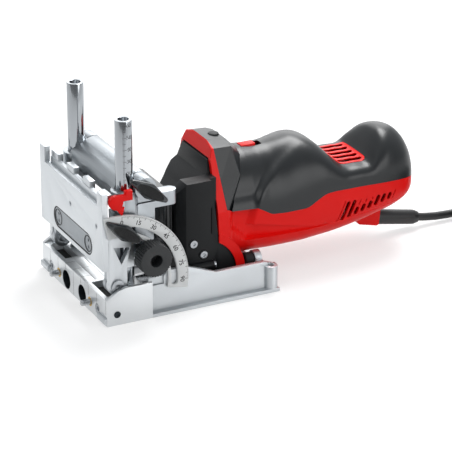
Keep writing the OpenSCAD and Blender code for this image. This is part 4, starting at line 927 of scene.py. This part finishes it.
def angle_print():
    """Degrees round the fence hinge, from the pointer downwards to the rear."""
    zero, rim, figures = 86.6, 60.6, 55.3
    lines, words = [], []
    for degree in range(91):
        a = radians(zero - degree)
        long = 2.9 if degree % 15 == 0 else 2.1 if degree % 5 == 0 else 1.1
        wide = 0.34 if degree % 5 == 0 else 0.2
        r = rim - long / 2
        lines.append(line(r * cos(a), r * sin(a), a, long, wide))
        if degree % 15 == 0:
            x, y = figures * cos(a), figures * sin(a)
            words.append(word(str(degree), 3.5, x, y, a - pi / 2))
    piece = printed("angle_print", lines, words, lambda x, y, z: (12 + x, -63.0 - z, 31 + y))
    carried(piece, "fence", "black_plastic")


def height_print():
    """Millimetres up the near column, so thin that the carriage clears them; figures right of the lines."""
    zero, start = 102.5, -3.1
    lines, words = [], []
    for mm in range(5, 64):
        long = 3.0 if mm % 10 == 0 else 2.4 if mm % 5 == 0 else 1.6
        wide = 0.36 if mm % 5 == 0 else 0.25
        lines.append(line(start + long / 2, zero + mm, 0, long, wide))
        if mm % 10 == 0:
            words.append(word(str(mm), 3.3, 2.3, zero + mm, 0))

    def lay(u, z, out):
        a = radians(265) + u / COLUMN_R
        r = COLUMN_R + 0.1 * out
        return COLUMN_X + r * cos(a), COLUMN_Y + r * sin(a), z

    carried(printed("height_print", lines, words, lay), "base", "black_plastic")


class JOINER_OT_scales(bpy.types.Operator):
    """Prints the angle scale and the height scale"""

    bl_idname = "joiner.scales"
    bl_label = "Printed scales"

    def execute(self, context):
        angle_print()
        height_print()
        return {"FINISHED"}


def wing_reach(px, pz, inset):
    """How many times a step fits between the wing's middle and its outline, drawn in by an inset."""
    discs = ((0, 6.5), (-17, 2.0), (17, 2.0))
    least = inf
    for c, s in circle(144):
        along = px * c + pz * s
        if along > 1e-6:
            least = min(least, (max(x * c + r for x, r in discs) - inset) / along)
    return least


def grip_pips(turn):
    """Staggered rows of pips on the floor of the dish."""
    pitch, size = 1.25, (0.00042, 0.00042, 0.0004)
    spots = []
    for row in range(-3, 4):
        for column in range(-10, 11):
            px, pz = pitch * (column + 0.5 * (row % 2)), pitch * 0.866 * row
            if (px / 11.2) ** 2 + (pz / 3.4) ** 2 < 1:
                spots.append((metres(turn @ Vector((px, -7.8, pz))), (pi / 2, 0, 0), size))
    return marks("grip_pips", spots, dome(), "rubber")


def wing_lever(name, place, node):
    """A wing on its hub, with a raised oval rim round a dish of pips."""
    turn = placed(place, 36, "Y")
    oval = [(13.8 * c, 4.3 * s) for c, s in circle(72)]
    body = ((2.0, 1.9), (2.3, 1.0), (3.2, 0.25), (4.6, 0), (6.4, 0), (7.1, 0.2), (7.5, 0.55))
    dish = ((8.75, 1.06), (9.0, 1.02), (8.9, 0.98), (8.2, 0.93), (7.9, 0.86), (7.8, 0.3))
    rings = []
    for out, inset in body:
        shares = [wing_reach(px, pz, inset) for px, pz in oval]
        rings.append([(px * share, -out, pz * share) for (px, pz), share in zip(oval, shares)])
    rings += [[(px * share, -out, pz * share) for px, pz in oval] for out, share in dish]
    hub, sides = lathe([(0, 0.01), (0, 5.2), (0.3, 5.5), (2.6, 5.5), (2.6, 0.01)])
    solid = together([skin(rings), ([(py, -px, pz) for px, py, pz in hub], sides)])
    wing = mesh_piece(name, moved(solid, turn), "lever", 40)
    pips = grip_pips(turn)
    both = bmesh.new()
    both.from_mesh(wing.data)
    both.from_mesh(pips)
    both.to_mesh(wing.data)
    both.free()
    bpy.data.meshes.remove(pips)
    # The faces of the dish and its pips take the darker second finish, painted shade for the sunk dish
    coat(wing.data, "lever", "rubber")
    back = turn.to_3x3().inverted()
    for face in wing.data.polygons:
        face.use_smooth = True
        step = back @ ((face.center - metres(place)) * 1000)
        face.material_index = int(-step.y > 7.6 and (step.x / 13.4) ** 2 + (step.z / 4.15) ** 2 < 1)
    carried(wing, node, "knob_plastic", node)


class JOINER_OT_levers(bpy.types.Operator):
    """Moulds the two wing levers with their sunk, dotted grip faces"""

    bl_idname = "joiner.levers"
    bl_label = "Wing levers"

    def execute(self, context):
        wing_lever("height_wing", (38.5, -58.5, 109.2), "height_lever")
        wing_lever("angle_wing", (15.404, -63.3, 79.681), "angle_lever")
        return {"FINISHED"}


def block_pads():
    """Black pads in the two pockets of the block's top."""
    solids = []
    for y0, y1 in ((-56.9, -26.1), (26.1, 56.9)):
        rings = []
        for z, inset in ((15.52, 0), (16.3, 0), (16.6, 0.3)):
            outline = rounded(4.08 + inset, 14.92 - inset, y0 + inset, y1 - inset, 0.8)
            rings.append([(x, y, z) for x, y in outline])
        solids.append(skin(rings))
    carried(mesh_piece("block_pads", together(solids), "rubber", 40), "base", "rubber")


def block_shoes():
    """Rounded guide shoes at the two lower front corners of the block."""
    outline = [(0.02, 1.6), (0.02, 7.0), (-1.3, 7.0), (-2.0, 6.5), (-2.3, 5.4), (-2.3, 3.0), (-1.9, 2.0)]
    outline.append((-1.2, 1.6))
    solids = [prism(outline, "y", *ends) for ends in ((-65.3, -50.2), (50.2, 65.3))]
    carried(mesh_piece("block_shoes", together(solids), "cast", 40), "base", "cast_aluminium")


def scribed_lines():
    """Fine lines scribed down the block's face and across its top, each as its y and its two ends."""
    down = ((49, 11, 21), (32.8, 13, 22), (17.6, 17, 22), (1.3, 0.4, 22), (-13.4, 17, 22), (-29, 13, 22),
            (-45.1, 12, 22), (-62.9, 10, 22))
    over = ((17.5, 1, 9), (3.3, 0.4, 16), (-13, 0.4, 10), (-25, 1, 7))
    sides = (("face_lines", down, lambda u, v, out: (-out, u, v)),
             ("top_lines", over, lambda u, v, out: (v, u, BLOCK_TOP + out)))
    for name, scribes, lay in sides:
        lines = [line(y, (a + b) / 2, pi / 2, b - a, 0.28, 0.03) for y, a, b in scribes]
        carried(printed(name, lines, [], lay), "base", "black_plastic")


def side_screws():
    """Blackened socket screws in the two sides of the block."""
    profile = [(0, 0.01), (0, 2.9), (0.35, 2.9), (0.7, 2.5), (0.7, 1.5), (0.15, 1.4), (0.15, 0.01)]
    head, faces = lathe(profile, 24)
    solids = []
    for side in (-1, 1):
        solids.append(([(8.9 + py, side * (BLOCK_HALF + px), 9.3 + pz) for px, py, pz in head], faces))
    carried(mesh_piece("side_screws", together(solids), "black_steel", 30), "base", "steel")


def bore_linings():
    """Thin near-black sleeves inside the two drill bores, in blackened steel: painted shade for the hollow
    bores.
    """
    rows = ((0.3, 7.99), (39.6, 7.99), (39.6, 7.84), (0.6, 7.84), (0.3, 7.94))
    solids = []
    for y in (-BORE_Y, BORE_Y):
        rings = [[(x, y + r * c, AXIS_Z + r * s) for c, s in circle(64)] for x, r in rows]
        solids.append(skin(rings, closed=True))
    carried(mesh_piece("bore_linings", together(solids), "black_steel", 40), "base", "steel")


def inset_rings():
    """Dark rings laid round the fence inset and its two end discs: a painted shadow in the gap round them."""
    low, high = 0.18, 0.5
    solids = []
    sizes = ((0, INSET_Y, 9.15, 8.2), (-INSET_Y, 0, 6.9, 6.4), (INSET_Y, 0, 6.9, 6.4))
    for middle, reach, outer, inner in sizes:
        rings = []
        for x, r in ((low, outer), (low, inner), (high, inner), (high, outer)):
            turn = [(middle + copysign(reach, c) + r * c, INSET_Z + r * s) for c, s in circle(64)]
            rings.append([(x, y, z) for y, z in turn])
        solids.append(skin(rings, closed=True))
    carried(mesh_piece("inset_rings", together(solids), "rubber", 40), "fence", "rubber")


class JOINER_OT_fittings(bpy.types.Operator):
    """Adds the block's pads, shoes, scribed lines and screws, with the dark linings of its bores and the dark
    rings round the fence inset, which are painted shade
    """

    bl_idname = "joiner.fittings"
    bl_label = "Small fittings"

    def execute(self, context):
        for make in (block_pads, block_shoes, scribed_lines, side_screws, bore_linings, inset_rings):
            make()
        return {"FINISHED"}


def coil_spring(name, node, axes, span, fixed, turns, radius, wire):
    """Coils of a wire on one or more axes; the fixed end that is given is not used."""
    length = span[1] - span[0]
    sizes = {"Radius": radius / 1000, "Height": (length - 2 * wire) / 1000, "Wire_Radius": wire / 1000}
    meshes = []
    for y in axes:
        obj = new_object(name, bpy.data.meshes.new(name))
        use_tree(obj, "Coil Spring", Turns=float(turns), Finish=FINISHES["spring"], **sizes)
        mesh = evaluated(obj)
        mesh.transform(placed(metres((span[0] + wire, y, AXIS_Z)), 90, "Y"))
        meshes.append(mesh)
    mesh = merged(name, meshes)
    coat(mesh, "spring")
    piece = carried(finished(name, mesh, 60), "base", "steel", node)
    metres((fixed, axes[0], AXIS_Z))
    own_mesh(piece)


class JOINER_OT_springs(bpy.types.Operator):
    """Winds the return springs and the stop pins' springs"""

    bl_idname = "joiner.springs"
    bl_label = "Springs"

    def execute(self, context):
        coil_spring("return_coils", "return_springs", (-GUIDE_Y, GUIDE_Y), (40.15, 99.4),
                    fixed=40.15, turns=13, radius=6.15, wire=0.55)
        for side, y in (("near", -PIN_Y), ("far", PIN_Y)):
            node, joint = f"stop_pin_spring_{side}", f"stop_pin_{side}_push"
            coil_spring(f"pin_coil_{side}", node, (y,), (18.1, 29.95), fixed=29.95,
                        turns=6, radius=1.95, wire=0.4)
        return {"FINISHED"}


class JOINER_OT_solids(bpy.types.Operator):
    """Gives every solid its finish and rounded edges"""

    bl_idname = "joiner.solids"
    bl_label = "Finishes of the solids"

    def execute(self, context):
        bare = set(NODES)
        for finish_name, widths in DRESS.items():
            for width, names in widths.items():
                for name in names.split():
                    coat(NODES[name].data, finish_name)
                    round_edges(NODES[name], width, SOFT_EDGES.get(name, EDGE_ANGLE))
                    bare.remove(name)
        if bare:
            raise RuntimeError(f"no finish is given for {sorted(bare)}")
        return {"FINISHED"}


def aimed(name, data, place, target):
    """A camera or lamp in its place, turned to a target."""
    obj = new_object(name, data)
    obj.location = place
    obj.rotation_mode = "QUATERNION"
    obj.rotation_quaternion = (Vector(target) - Vector(place)).to_track_quat("-Z", "Y")
    return obj


def set_camera(scene):
    """A long lens, set where the photo was taken from."""
    data = bpy.data.cameras.new("view")
    data.lens = 201.44
    data.sensor_width = 36
    data.clip_start = 0.05
    data.clip_end = 50
    scene.camera = aimed("view", data, (-0.746, -1.722, 0.8693), (0.112611, 0, 0.035545))


def set_floor():
    """A wide sheet of matt paper, lifted to white where the camera or a reflection sees it."""
    half, sunk, glow = 6.0, 0.0002, 0.56
    corners = [(-half, -half, 0), (half, -half, 0), (half, half, 0), (-half, half, 0)]
    floor = plain_shape("floor", corners, [(0, 1, 2, 3)])
    material = bpy.data.materials.new("floor_paper_matt")
    tree = cleared(material)
    paper = add(tree, "ShaderNodeBsdfDiffuse", {"Color": [*linear("#B8B8B8"), 1]})
    ray = add(tree, "ShaderNodeLightPath").outputs
    rays = {0: ray["Is Camera Ray"], 1: ray["Is Glossy Ray"]}
    seen = add(tree, "ShaderNodeMath", rays, operation="MAXIMUM")
    strength = add(tree, "ShaderNodeMath", {0: seen, 1: glow}, operation="MULTIPLY")
    lift = add(tree, "ShaderNodeEmission", {"Color": (1, 1, 1, 1), "Strength": strength})
    both = add(tree, "ShaderNodeAddShader", {0: paper, 1: lift})
    add(tree, "ShaderNodeOutputMaterial", {"Surface": both})
    floor.data.materials.append(material)
    floor.location.z = -sunk


def set_light(scene):
    """A sky that is brighter behind and above, and four soft lamps."""
    world = bpy.data.worlds.new("studio")
    tree = cleared(world)
    way = add(tree, "ShaderNodeTexCoord").outputs["Generated"]
    toward = add(tree, "ShaderNodeVectorMath", {0: way, 1: (0.25, 0.6, 0.76)}, operation="DOT_PRODUCT")
    ramp = {"From Min": -0.4, "From Max": 0.75, "To Min": 0.26, "To Max": 0.8}
    glow = add(tree, "ShaderNodeMapRange", {"Value": toward.outputs["Value"], **ramp},
               interpolation_type="SMOOTHSTEP")
    sky = add(tree, "ShaderNodeBackground", {"Color": [*linear("#F4F6F8"), 1], "Strength": glow})
    add(tree, "ShaderNodeOutputWorld", {"Surface": sky})
    scene.world = world
    # Each lamp's place, width in metres and power in watts
    lamps = {
        "key": ((-1.0, -0.9, 1.4), 0.9, 4.5),
        "back": ((0.95, 1.7, 1.0), 1.6, 14),
        "fill": ((0.9, -1.6, 0.6), 1.0, 8.2),
        "top": ((0.58, 0.42, 1.12), 0.55, 12),
    }
    for name, (place, size, power) in lamps.items():
        data = bpy.data.lights.new(name, "AREA")
        data.size = size
        data.energy = power
        aimed(name, data, place, (0.1, 0, 0.05))


class JOINER_OT_stage(bpy.types.Operator):
    """Sets the pale floor, soft studio light and camera"""

    bl_idname = "joiner.stage"
    bl_label = "Stage"

    def execute(self, context):
        scene = context.scene
        scene.view_settings.view_transform = "Standard"
        set_camera(scene)
        set_floor()
        set_light(scene)
        return {"FINISHED"}


class JoinerSizes(bpy.types.PropertyGroup):
    """Sizes of the pieces that are made over the solids."""

    cord_diameter: bpy.props.FloatProperty(
        name="Cord diameter", description="Diameter of the mains cord", default=0.007, unit="LENGTH",
        min=0.006, max=0.0075)


class JoinerColours(bpy.types.PropertyGroup):
    """Colours of the main finishes, as sRGB hex codes."""

    housing: bpy.props.StringProperty(
        name="Housing", description="Moulded lower housing, grille and band", default="#EE120E")
    grip: bpy.props.StringProperty(name="Grip", description="Overmoulded upper housing", default="#14181B")
    gearbox: bpy.props.StringProperty(name="Gear housing", description="Moulded gear case", default="#131517")
    knob: bpy.props.StringProperty(name="Knobs", description="Handwheel", default="#1C1F21")
    aluminium: bpy.props.StringProperty(
        name="Milled aluminium", description="Fence plate, rail and cheeks", default="#CDD1D4")
    casting: bpy.props.StringProperty(name="Cast aluminium", description="Frame and shoes", default="#C6CACD")
    cord: bpy.props.StringProperty(name="Cord", description="Cord, boot and plug", default="#17181A")


class JOINER_PT_looks(bpy.types.Panel):
    """Lists the steps that dress the joiner."""

    bl_label = "Dowel joiner"
    bl_idname = "JOINER_PT_looks"
    bl_space_type = "VIEW_3D"
    bl_region_type = "UI"
    bl_category = "Joiner"

    def draw(self, context):
        for step in STEPS:
            self.layout.operator(step.bl_idname)
        for group in (context.scene.joiner_sizes, context.scene.joiner_colours):
            for name in group.__annotations__:
                self.layout.prop(group, name)


STEPS = (JOINER_OT_stage, JOINER_OT_cord, JOINER_OT_housing, JOINER_OT_levers, JOINER_OT_springs,
         JOINER_OT_fittings, JOINER_OT_scales, JOINER_OT_solids)
CLASSES = (JoinerSizes, JoinerColours, *STEPS, JOINER_PT_looks)


def register():
    for cls in CLASSES:
        bpy.utils.register_class(cls)
    bpy.types.Scene.joiner_sizes = bpy.props.PointerProperty(type=JoinerSizes)
    bpy.types.Scene.joiner_colours = bpy.props.PointerProperty(type=JoinerColours)


def unregister():
    del bpy.types.Scene.joiner_colours
    del bpy.types.Scene.joiner_sizes
    for cls in reversed(CLASSES):
        bpy.utils.unregister_class(cls)


def main():
    register()
    make_finishes(bpy.context.scene.joiner_colours)
    sharp_tree()
    marks_tree()
    spring_tree()
    for step in STEPS:
        family, name = step.bl_idname.split(".")
        getattr(getattr(bpy.ops, family), name)()


if __name__ == "__main__":
    main()
